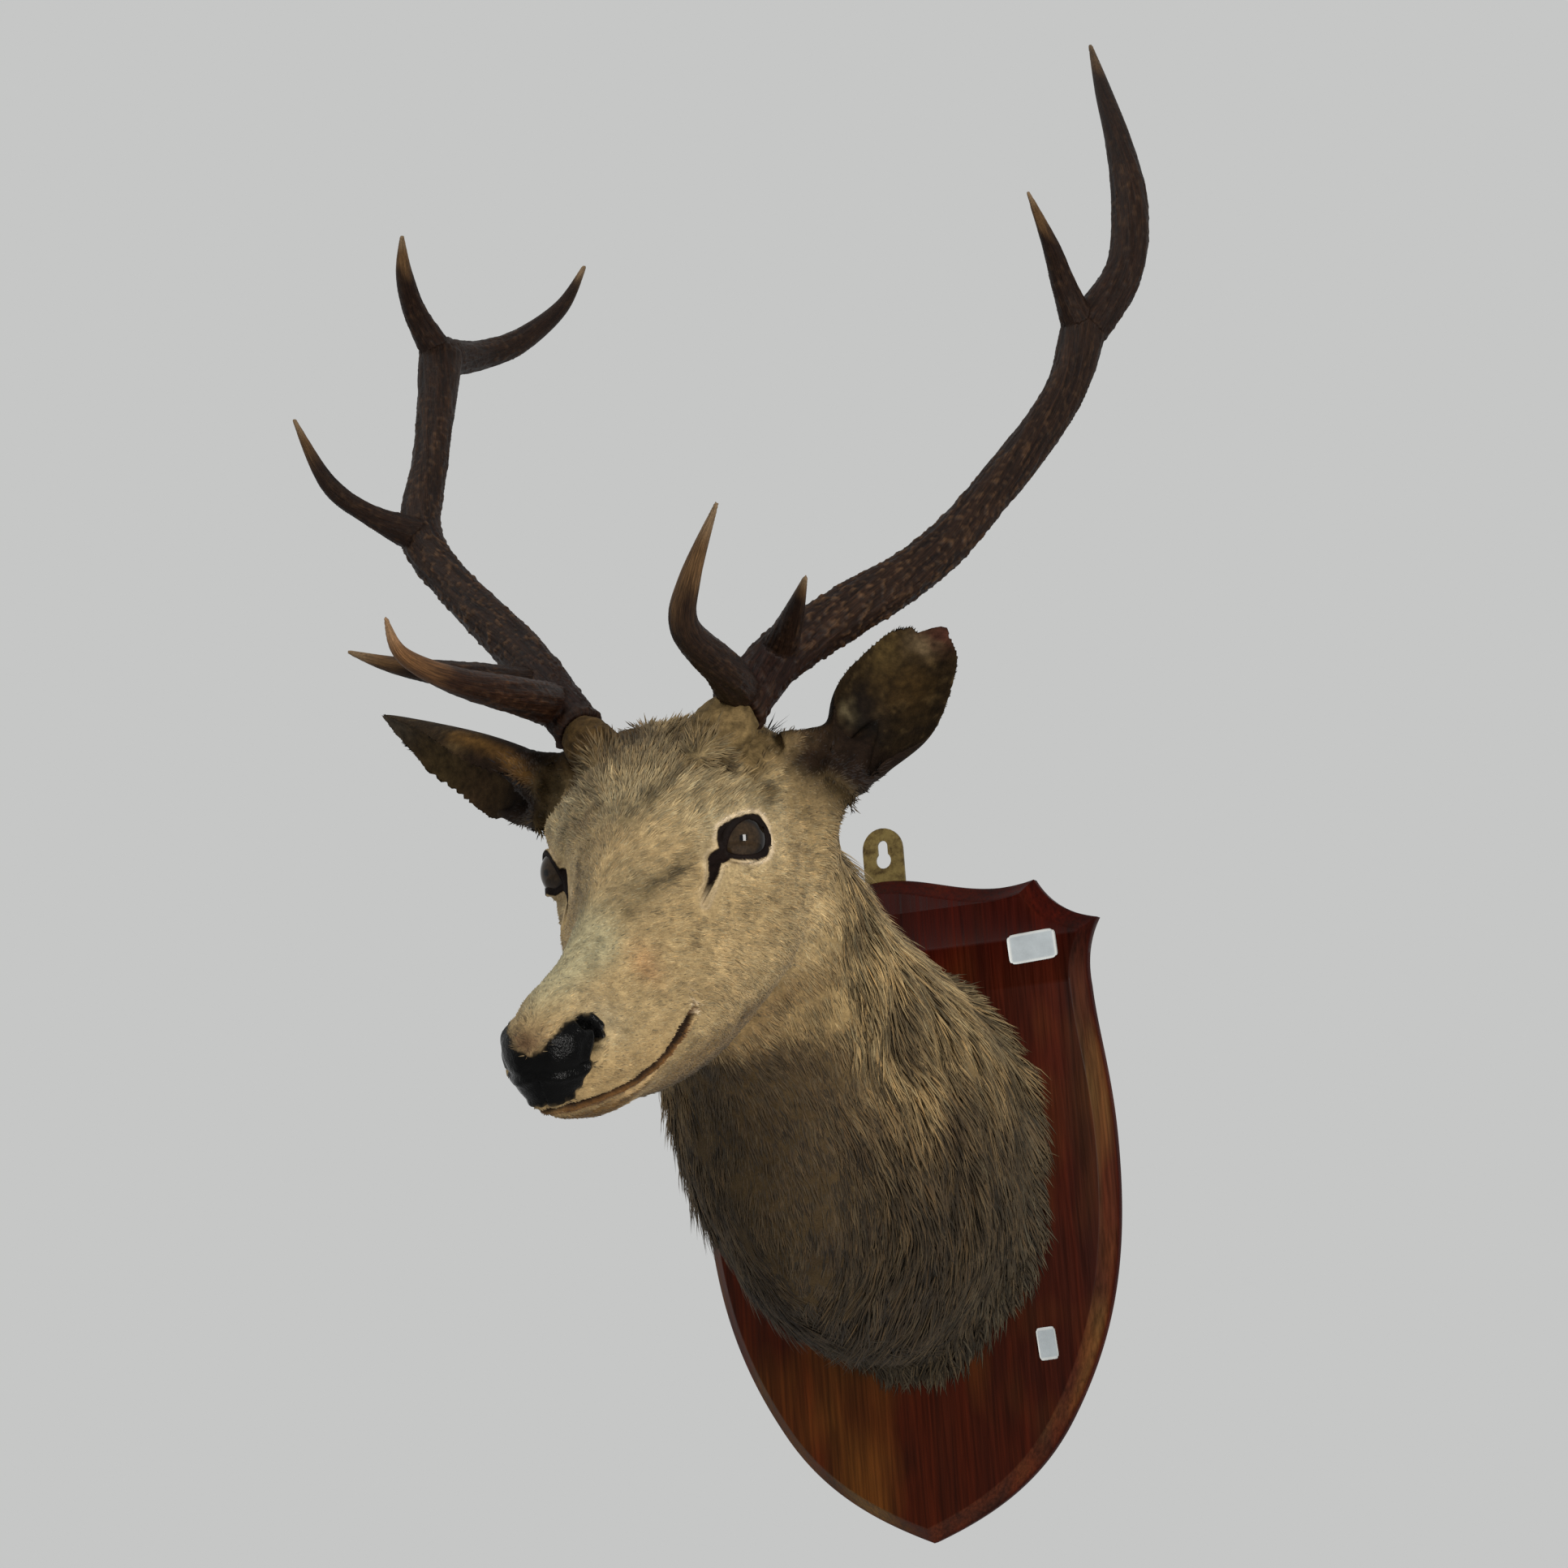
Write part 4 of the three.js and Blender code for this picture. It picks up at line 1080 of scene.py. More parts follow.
def skin_material():
    s = Shader("deer_skin", Specular_IOR_Level=0.07)
    head_axes = (-HEAD_PITCH, 0, -HEAD_YAW)
    streaks = s.noise(s.place((900, 120, 900), head_axes), 1, 3, 0.55)
    spots = s.noise(s.place(), 420, 5, 0.65)
    pores = s.noise(s.place(), 900, 2, 0.5)
    wet = s.attribute("wet", "Fac")
    shade = s.ramp(s.math("ADD", streaks, spots), 0.7, 1.3, 0.72, 1.2)
    s.painted(s.mix(wet, shade, grey(1.0)))
    s.rough(s.mix(wet, grey(0.78), s.ramp(spots, 0.35, 0.7, 0.14, 0.34)))
    s.bump(s.mix(wet, s.math("ADD", s.math("MULTIPLY", streaks, 1.4), spots), pores), 0.55, 0.0007)
    return s.material


def coat_material(name, rough, sheen):
    s = Shader(name, Specular_IOR_Level=0.22, Sheen_Weight=sheen, Sheen_Roughness=0.5)
    fine = s.noise(s.place(), 700, 3, 0.6)
    s.painted(s.ramp(fine, 0.3, 0.7, 0.8, 1.15))
    s.rough(s.ramp(fine, 0.3, 0.7, rough - 0.08, rough + 0.1))
    s.bump(fine, 0.25, 0.0004)
    return s.material


def antler_material():
    s = Shader("antler", Specular_IOR_Level=0.12)
    bark = s.attribute("bark", "Vector")
    grooves = s.noise(bark, 0.62, 4, 0.6)
    lines = s.noise(bark, 1.7, 3, 0.6)
    grain = s.noise(s.place(), 420, 4, 0.6)
    light, fine = s.ramp(grooves, 0.34, 0.66, 0.55, 1.45), s.ramp(lines, 0.34, 0.66, 0.5, 1.5)
    s.painted(s.mix(1.0, light, fine, "MULTIPLY"))
    s.rough(s.ramp(lines, 0.3, 0.7, 0.38, 0.6))
    s.bump(s.math("ADD", s.math("ADD", grooves, s.math("MULTIPLY", lines, 0.6)),
                  s.math("MULTIPLY", grain, 0.25)), 0.7, 0.0011)
    return s.material


def board_material():
    s = Shader("mahogany", Specular_IOR_Level=0.05)
    wide = s.noise(s.place((1, 1, 0.12)), 26, 4, 0.55, 1.2)
    grain = s.noise(s.place((1, 1, 0.035)), 420, 5, 0.6, 0.4)
    patch = s.noise(s.place((1, 1, 0.5)), 7, 3, 0.5)
    dark, red, orange = (*tone(26, 4, 1), 1), (*tone(54, 8, 1), 1), (*tone(84, 34, 5), 1)
    body = s.mix(s.ramp(wide, 0.3, 0.72), dark, red)
    body = s.mix(s.ramp(patch, 0.52, 0.74, 0.0, 0.75), body, orange)
    body = s.mix(1.0, body, s.attribute("paint"), "MULTIPLY")
    s.colour(s.mix(1.0, body, s.ramp(grain, 0.35, 0.65, 0.6, 1.25), "MULTIPLY"))
    s.rough(s.ramp(grain, 0.3, 0.7, 0.3, 0.5))
    s.bump(s.math("ADD", grain, s.math("MULTIPLY", wide, 0.6)), 0.3, 0.0004)
    return s.material


def brass_material(name, colour, rough):
    s = Shader(name, Metallic=1.0)
    stain = s.noise(s.place(), 120, 6, 0.7)
    s.colour(s.mix(s.ramp(stain, 0.4, 0.66), colour, (0.07, 0.045, 0.02, 1)))
    s.rough(s.ramp(stain, 0.3, 0.7, rough, rough + 0.25))
    s.bump(s.noise(s.place(), 900, 3, 0.6), 0.3, 0.0002)
    return s.material


def paper_material():
    s = Shader("paper", Specular_IOR_Level=0.3)
    fibre = s.noise(s.place(), 900, 5, 0.7)
    stain = s.noise(s.place(), 90, 3, 0.6)
    s.painted(s.ramp(stain, 0.3, 0.75, 1.0, 0.82))
    s.rough(s.ramp(fibre, 0.3, 0.7, 0.55, 0.75))
    s.bump(fibre, 0.2, 0.0002)
    return s.material


def glass_material():
    s = Shader("glass_eye", Coat_Weight=0.06, Coat_Roughness=0.01, Specular_IOR_Level=0.16)
    fibres = s.noise(s.place(), 700, 4, 0.6)
    s.painted(s.ramp(fibres, 0.3, 0.7, 0.7, 1.3))
    s.rough(s.ramp(fibres, 0.3, 0.7, 0.03, 0.05))
    return s.material


def finish_piece(thing, material, replaced=()):
    thing.data.materials.append(material)
    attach(thing, BODY)
    if replaced:
        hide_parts(*replaced)


# ------------------------------------------------------------------ the skin, thinned where it is plain
skin, tris, moved = with_modifier(skin, tris, "DECIMATE", plain, rest - skin, ratio=0.26,
                                  decimate_type="COLLAPSE", vertex_group_factor=1.0)
rest = skin + moved  # where each point lay before carving; the markings are placed by it
skin_normals = normals_of(skin, tris)
hide = make_mesh("deer_skin", skin, tris)
set_colour(hide.data, "paint", paint(rest, skin))
set_value(hide.data, "wet", np.maximum(wetness(to_head(rest)),
                                       step(0, -1.5, eye_edge(to_head(rest), to_head(skin))) * 0.3))
finish_piece(hide, skin_material(),
             ("head", "lower_jaw", "neck", "ear_left", "ear_right", "nose_pad"))


# ------------------------------------------------------------------ the coat
NECK_MIDDLE = np.array([0.0, 0.0, 30.0])  # middle of the neck at the board
BOARD_FACE = -22.0
PATCH = 0.003  # size of one tuft's patch in the bake map


def lie_of_coat(p, q):
    """Way the hair points at each place, in row axes, before it is laid on the surface."""
    m = mirrored(q)
    sign = np.where(q[:, 0] < 0, -1.0, 1.0)
    x, y, z = m.T
    way = np.zeros_like(q)
    way[:, 1] = 1.0
    way[:, 2] = -0.22 - 0.45 * step(-20, -90, z) * step(-150, -60, y) + 0.15 * step(20, 50, z)
    way[:, 0] = sign * (0.12 + 0.25 * step(10, 40, z) * step(0, 40, x))
    for centre in EYES.values():
        way = way + unit(q - centre) * bell(distance(q, centre), 30)[:, None] * 0.6
    way = unit(way) @ HEAD_TURN.T
    throat = step(60, -60, p[:, 2] - np.interp(p[:, 1], [-400, -20], [40, -60]))
    nape = step(40, 120, p[:, 2] - np.interp(p[:, 1], [-420, -330, -230, -100, 0], [230, 200, 140, 80, 60]))
    down = np.stack([np.zeros(len(p)), 0.55 - 0.45 * throat + 0.3 * nape,
                     -0.85 - 0.1 * throat + 0.55 * nape], -1)
    rim = 0.75 * step(-62, -26, p[:, 1])
    out = unit((p - NECK_MIDDLE) * [1, 0, 1])
    down = unit(down) * (1 - 0.75 * rim)[:, None] + (out * 0.3 + [0, 0.3, -0.7]) * rim[:, None]
    neck = neck_mask(q)[:, None]
    way = way * (1 - neck) + unit(down) * neck
    for side, name in ((1, "left"), (-1, "right")):
        near = stump_mask(p) * (np.sign(p[:, 0] - HEAD_ORIGIN[0]) == side)
        way = way * (1 - near[:, None]) + beam_foot(name)[1] * near[:, None]
    ears, _ = ear_mask(q)
    for side in EARS:
        root, _, along, _, across, _ = ear_frame(side)
        fan = unit(along + across * np.clip(((q - root) @ across) / 60, -0.5, 0.5)[:, None])
        here = (ears * (np.sign(q[:, 0]) == side))[:, None]
        way = way * (1 - here) + (fan @ HEAD_TURN.T) * here
    return unit(way)


def scatter(verts, tris, density, count):
    """Even random points on a surface: places, corner weights and the triangles they lie on."""
    a, b, c = verts[tris[:, 0]], verts[tris[:, 1]], verts[tris[:, 2]]
    area = np.linalg.norm(np.cross(b - a, c - a), axis=1) / 2 * density[tris].mean(1)
    run = np.cumsum(area)
    at = (np.arange(count) + RNG.random(count)) / count * run[-1]
    face = np.clip(np.searchsorted(run, at), 0, len(tris) - 1)
    u, v = RNG.random((2, count))
    flip = u + v > 1
    u[flip], v[flip] = 1 - u[flip], 1 - v[flip]
    w = np.stack([1 - u - v, u, v], -1)
    return (verts[tris[face]] * w[..., None]).sum(1), w, face


def tufts(roots, normals, ways, long, wide, lift, drop, rings, root_painted_shade, colours, sway):
    """Solid flat-bellied locks: a root point, rings of three corners and a tip."""
    n = len(roots)
    t = unit(ways - normals * (ways * normals).sum(1)[:, None])
    s = np.cross(normals, t)
    u = np.linspace(0, 1, rings + 2)
    corners, painted_shades, bent = [], [], []
    for k, at in enumerate(u):
        rise = long * (np.sin(lift) * at - drop * at * at) - 0.35 * wide * (1 - at) - 0.15
        centre = (roots + t * (long * at)[:, None] + s * (long * sway * np.sin(at * 2.6))[:, None]
                  + normals * rise[:, None])
        half = wide * (0.42 + 0.58 * math.sin(min(at / 0.4, 1) * math.pi / 2)) * (1 - at) ** 0.55 * 0.62
        # painted shade and light: each tuft is darker at its root, where the coat over it shades it, and a
        # little lighter at its tip
        shade = mix(root_painted_shade, 1.12, at)
        if k in (0, rings + 1):
            corners.append(centre[:, None])
            bent.append((normals + t * (0.4 if k else -0.2))[:, None])
        else:
            h, flat = half[:, None], 0.42 * half[:, None]
            corners.append(np.stack([centre - s * h, centre + s * h, centre + normals * flat * 1.6], 1))
            bent.append(np.stack([normals - s * 0.55, normals + s * 0.55, normals], 1))
        painted_shades.append(np.full(corners[-1].shape[1], shade))
    verts = np.concatenate(corners, 1)
    per = verts.shape[1]  # points in one tuft
    faces = []
    for k in range(3):
        a, b = 1 + k, 1 + (k + 1) % 3
        faces.append([0, b, a])
        for _ in range(rings - 1):
            faces += [[a, b, b + 3], [a, b + 3, a + 3]]
            a, b = a + 3, b + 3
        faces.append([a, b, per - 1])
    faces = np.array(faces)[None] + (np.arange(n) * per)[:, None, None]
    colours = colours[:, None, :] * np.concatenate(painted_shades)[None, :, None]
    bent = unit(np.concatenate(bent, 1))
    return (above_board(verts.reshape(-1, 3)), faces.reshape(-1, 3), bent.reshape(-1, 3),
            np.clip(colours, 0.003, 0.9).reshape(-1, 3), per)


def unwrap(p, high):
    """Place on a roll around the skin: turn about the line from NECK_MIDDLE to high, and way along it."""
    axis = unit(high - NECK_MIDDLE)
    v = p - NECK_MIDDLE
    side = unit(np.cross(axis, [0, 0, 1.0]))
    up = np.cross(side, axis)
    turn = np.arctan2(v @ side, v @ up) / (2 * np.pi) + 0.5
    return np.stack([turn, v @ axis], -1)


def coat_piece(name, made, roots, material):
    verts, faces, normals, colours, per = made
    thing = make_mesh(name, verts, faces)
    mesh = thing.data
    set_colour(mesh, "paint", colours)
    mesh.normals_split_custom_set_from_vertices(normals)
    place = unwrap(roots, HEAD_ORIGIN + [0, -120.0, -60])
    place = (place - place.min(0)) / np.maximum(np.ptp(place, axis=0), 1e-6) * (1 - 2 * PATCH) + PATCH
    rings = (per - 2) // 3
    u = np.array([0.0, *[-0.45, 0.45, 0.0] * rings, 0.0])
    w = np.array([-0.5, *np.repeat(np.arange(1, rings + 1) / (rings + 1) - 0.5, 3), 0.5])
    uv = place[:, None, :] + PATCH * np.stack([u, w], -1)[None]
    layer = mesh.uv_layers.new(name="OFBake")
    layer.data.foreach_set("uv", uv.reshape(-1, 2)[corners_of(mesh)].astype(np.float32).ravel())
    finish_piece(thing, material)


def above_board(p):
    """Keeps hair off the board's face."""
    lowest = BOARD_FACE - 0.8
    over = p[:, 1] > lowest
    p[over, 1] = lowest + (p[over, 1] - lowest) * 0.02
    return p


def corner_mean(values, face, w):
    return (values[tris[face]] * w[..., None]).sum(1)


def grow(name, density, *, count, pieces, long, wide, lift, drop, rings, sway, material, root_painted_shade,
         wander, jitter, streaky):
    """Sows tufts over the skin and makes them into pieces.

    long, wide and lift give length and width in mm and the rise in radians at row and head points. wander is
    the size in mm and the angle of the lie's drift; jitter and streaky set how uneven the colour is.
    """
    roots, w, face = scatter(skin, tris, density, count)
    normals = unit(corner_mean(skin_normals, face, w))
    normals = unit(normals + np.outer(step(-60, -24, roots[:, 1]), [0, -1.3, 0.2]))
    spots = corner_mean(rest, face, w)
    q = to_head(spots)
    ways = lie_of_coat(roots, q)
    size, angle = wander
    bend = np.stack([layered(roots, size, 61 + k) for k in range(3)], -1) * math.tan(angle)
    stray = RNG.normal(0, 1, roots.shape) * (0.1 + 0.05 * step(-80, -40, roots[:, 1]))[:, None]
    ways = unit(ways + bend + stray)
    big = RNG.uniform(0.72, 1.25, count)
    length = long(roots, q) * big
    width = wide(roots, q) * RNG.uniform(0.75, 1.25, count)
    rise = lift(roots, q) * RNG.uniform(0.5, 1.5, count)
    # noise smeared along the lie makes streaks of lighter and darker locks
    streaks = sum(noise(roots + ways * size * 0.17 * k, size * 0.2, 73) for k in range(-4, 5)) / 9
    shade = 1 + RNG.normal(0, jitter, count) + 0.14 * layered(roots, size * 0.8, 71) + streaky * streaks
    warm = RNG.normal(0, jitter * 0.3, (count, 1)) * np.array([[1.0, 0.2, -0.8]])
    colours = paint(spots, roots) * np.clip(shade, 0.45, 1.7)[:, None] * (1 + warm)
    order = np.argsort(unwrap(roots, HEAD_ORIGIN)[:, 1])
    for k, part in enumerate(np.array_split(order, pieces)):
        made = tufts(roots[part], normals[part], ways[part], length[part], width[part], rise[part], drop,
                     rings, root_painted_shade, colours[part], RNG.uniform(-sway, sway, len(part)))
        coat_piece(f"{name}_{k + 1}", made, roots[part], material)


q_skin = to_head(rest)
neck_on = neck_mask(q_skin)
ears_on, _ = ear_mask(q_skin)
stump_on = stump_mask(skin)
eye_near = eye_edge(q_skin, to_head(skin))
bare = np.maximum.reduce([
    wetness(q_skin), step(1.0, 0.3, eye_near), step(2.6, 1.6, along_line(mirrored(q_skin), MOUTH)[0]),
    step(2.4, 1.4, outside_tear(to_head(skin))), (skin[:, 1] > BOARD_FACE - 1.0) * 1.0])


def face_long(p, q):
    near = eye_edge(q, to_head(p))
    fur = 5.0 + 2.6 * step(-160, -40, q[:, 1]) + 3.0 * step(10, 70, q[:, 1]) + 2.5 * step(-110, -140, q[:, 2])
    fur = fur + 3.5 * step(-50, 0, q[:, 1]) * step(10, 40, q[:, 2])
    by_ear = np.minimum(distance(q, [92, 88, 30]), distance(q, [-84, 88, 46]))
    fur = fur * mix(0.25, 1, step(24, 56, by_ear))
    fur = fur * mix(0.14, 1.0, step(3, 12, outside_tear(to_head(p))))
    by_mouth = step(0, 14, along_line(mirrored(q), MOUTH)[0])
    return fur * mix(0.35, 1.0, step(1, 16, near)) * mix(0.6, 1.0, by_mouth)


def neck_long(p, q):
    near = np.minimum(distance(q, [96, 96, 20]), distance(q, [-88, 94, 36]))
    fur = mix(10.0, 29.0, step(58, 150, q[:, 1])) + 8 * noise(p, 30, 81) * step(-160, -40, p[:, 1])
    return fur * mix(0.3, 1, step(20, 60, near))


def ear_long(p, q):
    fur = 2.6 + 1.6 * step(0.1, 0.5, ear_mask(q)[1])
    for side in EARS:
        root, axis, along, facing, across, _ = ear_frame(side)
        v = q - root
        at = np.clip(v @ along / np.linalg.norm(axis), 0, 1)
        table = np.transpose(EAR_ROLL)
        radius, spread = (np.interp(at, table[0], table[k]) for k in (1, 2))
        roll = np.abs(np.arctan2(v @ across, radius - v @ facing)) / spread
        rim = step(0.80, 0.95, np.maximum(roll, step(0.8, 0.97, at)))
        rim = rim * (np.sign(q[:, 0]) == side) * (v @ along > 20)
        fur = fur * mix(1, 0.3, rim)
    return fur


fine_coat = coat_material("face_coat", 0.74, 0.03)
long_coat = coat_material("neck_coat", 0.74, 0.03)
ear_coat = coat_material("ear_coat", 0.75, 0.03)

on_face = (1 - neck_on) * (1 - ears_on) * (1 - stump_on) * (1 - bare)
grow("face_coat", on_face * (1 + 1.2 * step(24, 6, eye_near)), count=78000, pieces=3, long=face_long,
     wide=lambda p, q: 0.74 + 0.4 * step(-60, 40, q[:, 1]),
     lift=lambda p, q: (0.15 + 0.14 * step(-60, 0, q[:, 1]) * step(0, 40, q[:, 2])
                        * step(76, 40, np.abs(q[:, 0]))),
     drop=0.10, rings=1, sway=0.05, material=fine_coat, root_painted_shade=0.74, wander=(16, 0.3),
     jitter=0.17, streaky=0.9)
grow("neck_coat", neck_on * (1 - ears_on) * (1 - bare) * (1 + 0.5 * step(-90, -40, skin[:, 1])
                                                          + 1.6 * step(140, 70, q_skin[:, 1])),
     count=64000, pieces=5, long=neck_long, wide=lambda p, q: 0.8 + 0.85 * step(66, 170, q[:, 1]),
     lift=lambda p, q: (mix(0.24, 0.11, step(-130, -60, p[:, 1])) * mix(0.4, 1, step(80, 130, q[:, 1]))
                        * (1 + 1.1 * noise(p * [1, 1, 0.6], 24, 83) * step(-60, -140, p[:, 1]))),
     drop=0.18, rings=2, sway=0.14, material=long_coat, root_painted_shade=0.5, wander=(36, 0.46),
     jitter=0.22, streaky=3.4)
grow("ear_coat", np.maximum(ears_on, stump_on) * (1 - bare), count=20000, pieces=1, long=ear_long,
     wide=lambda p, q: 0.8, lift=lambda p, q: 0.05, drop=0.10, rings=1, sway=0.08,
     material=ear_coat, root_painted_shade=0.65, wander=(14, 0.3), jitter=0.24, streaky=0.6)


# ------------------------------------------------------------------ eyes
def eyeball(side):
    gaze, back, up = gaze_frame(side)
    segments, rings = 72, 48
    theta = np.linspace(0, np.pi, rings + 1)[1:-1]
    phi = np.linspace(0, 2 * np.pi, segments, endpoint=False)
    t, f = np.meshgrid(theta, phi, indexing="ij")
    radius = EYE_R - 0.25 + 0.5 * bell(t, 0.62)
    d = (np.cos(t)[..., None] * gaze + (np.sin(t) * np.cos(f))[..., None] * back
         + (np.sin(t) * np.sin(f))[..., None] * up)
    poles = [gaze * (EYE_R + 0.25), -gaze * (EYE_R - 0.25)]
    verts = np.concatenate([(d * radius[..., None]).reshape(-1, 3), poles])
    quads, *caps = ring_faces(rings - 1, segments)
    name = "eye_left" if side > 0 else "eye_right"
    faces = [quads[:, [0, 3, 2, 1]], *(cap[:, [0, 2, 1]] for cap in caps)]
    if side < 0:
        faces = [f[:, ::-1] for f in faces]
    thing = make_mesh(f"{name}_glass", to_row(verts + EYES[side]), faces)
    at = unit(verts)
    a = np.arctan2(at @ back, at @ gaze)
    b = np.arcsin(np.clip(at @ up, -1, 1))
    a, b = a + 0.41, b - 0.12  # the glass pupil looks forward of the socket
    away = np.hypot(a, b)
    pupil = step(1.0, 0.8, np.hypot(a / 0.17, b / 0.13))
    iris = tone(44, 33, 21) * (1 + 0.35 * noise(verts, 2.2, 91) + 0.25 * noise(verts, 6, 93))[:, None]
    c = lay(iris, tone(16, 11, 8), step(0.5, 0.75, away))
    c = lay(c, tone(6, 6, 7), pupil)
    set_colour(thing.data, "paint", c)
    finish_piece(thing, glass, (name,))


glass = glass_material()
for side in EYES:
    eyeball(side)


# ------------------------------------------------------------------ antlers
IVORY_FROM = {"brow": 0.62, "top_rear": 0.82, "top_front": 0.62, "bay": 0.7, "trez": 0.7}  # share of a tine
STEPS = 160  # points along a branch
CHUNK = 20000  # points handled at a time


def wrapped(turn, radius, run):
    """A branch's surface as a straight tube."""
    return np.stack([np.cos(turn) * radius, np.sin(turn) * radius, run], -1)


def antler(side):
    branches = [(name, *curve_of(rows, STEPS)) for name, rows in ANTLERS[side].items()]
    bodies = [tube(curve[:, :3], curve[:, 3], 28) for _, curve, _ in branches]
    verts, faces = remesh(bodies, 1.45)
    verts = relax(verts, faces, 5, 0.9, shrink=False)
    best = np.full(len(verts), 1e9)
    branch = np.zeros(len(verts), int)
    spot = np.zeros(len(verts), int)
    for k, (_, curve, _) in enumerate(branches):
        for start in range(0, len(verts), CHUNK):
            part = slice(start, start + CHUNK)
            away = np.linalg.norm(verts[part, None] - curve[None, :, :3], axis=2) - curve[None, :, 3]
            near = away.argmin(1)
            value = np.take_along_axis(away, near[:, None], 1)[:, 0] + (0.4 if k else 0)
            closer = value < best[part]
            best[part] = np.where(closer, value, best[part])
            branch[part] = np.where(closer, k, branch[part])
            spot[part] = np.where(closer, near, spot[part])
    normals = normals_of(verts, faces)
    push = np.zeros(len(verts))
    colour = np.zeros((len(verts), 3))
    bark = np.zeros((len(verts), 3))
    for k, (name, curve, run) in enumerate(branches):
        own = branch == k
        at = spot[own]
        tangent, normal, across = carried_frames(curve[:, :3])
        v = verts[own] - curve[at, :3]
        away = v - tangent[at] * (v * tangent[at]).sum(1)[:, None]
        turn = np.arctan2((away * across[at]).sum(1), (away * normal[at]).sum(1))
        s = at / (STEPS - 1) * run + (v * tangent[at]).sum(1)
        t = s / run
        thick = np.clip(curve[at, 3] / 15, 0.1, 1.1)
        bark[own] = wrapped(turn + s / 140, 15, s / 14 + 40 * k)
        ridge = 1 - 2 * np.abs(noise(bark[own], 5.2, 101)) ** 0.8
        smaller = 1 - 2 * np.abs(noise(wrapped(turn, 15, s / 7 + 60 * k), 3.6, 103)) ** 0.8
        beam = name == "beam"
        rough = thick if beam else (1 - step(0.42, 0.85, t)) * thick
        flat = wrapped(turn, curve[at, 3], s)
        pearl = np.clip(noise(flat * [1, 1, 0.6] + 50 * k, 3.1, 107) - 0.2, 0, 1) ** 0.7
        low = step(1.0, 0.2, t * 0.8) if beam else 0.55 * step(1.0, 0.2, t)
        push[own] = rough * (0.75 * ridge + 0.4 * smaller + 1.5 * pearl * low)
        c = lay(np.tile(tone(37, 24, 16), (len(at), 1)), tone(56, 39, 26), np.clip(0.5 * ridge * thick, 0, 1))
        c = lay(c, tone(19, 11, 7), step(0.1, -0.8, ridge) * 0.6)
        c = lay(c, tone(100, 78, 56), np.clip(pearl * low * 1.3, 0, 1) * 0.7)
        if beam:
            burr = bell(s, 4.0, 3.5)
            push[own] += burr * 1.2 * (0.6 + 0.9 * np.abs(noise(wrapped(turn, 15, s / 3), 5.2, 117)))
            c = lay(c, tone(34, 18, 14), step(0.26, 0.05, t) * 0.75)
            colour[own] = lay(c, tone(60, 42, 28), burr * 0.4)
        else:
            c = lay(c, tone(38, 24, 17), step(0.5, 0.1, t) * 0.6)
            ivory = mix(tone(120, 96, 66), tone(170, 152, 124), step(0.86, 1.0, t)[:, None])
            start = IVORY_FROM[name]
            fade = step(start, start + 0.24, t + 0.08 * noise(flat * [1, 1, 0.3], 7, 111))
            c = lay(c, ivory, fade * (0.8 + 0.15 * smaller))
            colour[own] = c * ([1.5, 1.35, 1.28] if (side, name) == ("right", "brow") else [1, 1, 1])
    verts = verts + normals * push[:, None]
    thing = make_mesh(f"antler_{side}", verts, faces)
    set_colour(thing.data, "paint", np.clip(colour * [0.58, 0.5, 0.44], 0.002, 0.9))
    set_vector(thing.data, "bark", bark)
    names = [f"antler_{side}_{name}" for name in ANTLERS[side]]
    finish_piece(thing, bone, names)


bone = antler_material()
for side in ANTLERS:
    antler(side)


# ------------------------------------------------------------------ board, plate and labels
def bezier(points, count):
    points = [np.array(p, float) for p in points]
    t = np.linspace(0, 1, count, endpoint=False)[:, None]
    if len(points) == 3:
        return (1 - t) ** 2 * points[0] + 2 * t * (1 - t) * points[1] + t * t * points[2]
    return ((1 - t) ** 3 * points[0] + 3 * t * (1 - t) ** 2 * points[1] + 3 * t * t * (1 - t) * points[2]
            + t**3 * points[3])


def board_outline():
    half = np.concatenate([
        bezier([(0, 253), (34, 253), (62, 236.5), (97, 235.5)], 26),
        bezier([(97, 235.5), (112, 235.5), (125, 238.5)], 12),
        bezier([(125, 238.5), (139, 211), (173, 203.6)], 16),
        bezier([(173, 203.6), (159, 182), (162, 152)], 16),
        bezier([(162, 152), (163, 118), (171, 85), (171, 36)], 26),
        bezier([(171, 36), (171, -50), (156, -108), (117, -168)], 36),
        bezier([(117, -168), (88, -213), (47, -236), (0, -254)], 30),
        [[0, -254]],
    ])
    return np.concatenate([half, half[1:-1][::-1] * [-1, 1]])


def board():
    """Shield of rings from the back to the face, over a chamfer with a soft foot and shoulder."""
    outline = board_outline()
    profile = [(1.2, 0.0), (0, -1.2), (0, -9.0), (0.8, -10.2), (3.0, -12.2), (6.4, -15.8), (9.6, -19.2),
               (11.3, -21.2), (12.4, BOARD_FACE)]  # how far in, y
    rings = []
    for inset, y in profile:
        x = outline[:, 0] * (1 - inset / 171)
        z = outline[:, 1] * (1 - inset / 253)
        rings.append(np.stack([x, np.full(len(x), y), z], -1))
    quads = ring_quads(len(rings), len(outline))[:, [0, 3, 2, 1]]
    flat = np.array(tessellate_polygon([[Vector((x, z, 0)) for x, z in outline]]))
    a, b, c = (outline[flat[:, k]] for k in range(3))
    turned = (b[:, 0] - a[:, 0]) * (c[:, 1] - a[:, 1]) - (b[:, 1] - a[:, 1]) * (c[:, 0] - a[:, 0]) < 0
    flat[turned] = flat[turned][:, ::-1]
    faces = [quads, flat + (len(rings) - 1) * len(outline), flat[:, ::-1]]
    return make_mesh("shield_board", np.concatenate(rings), faces)


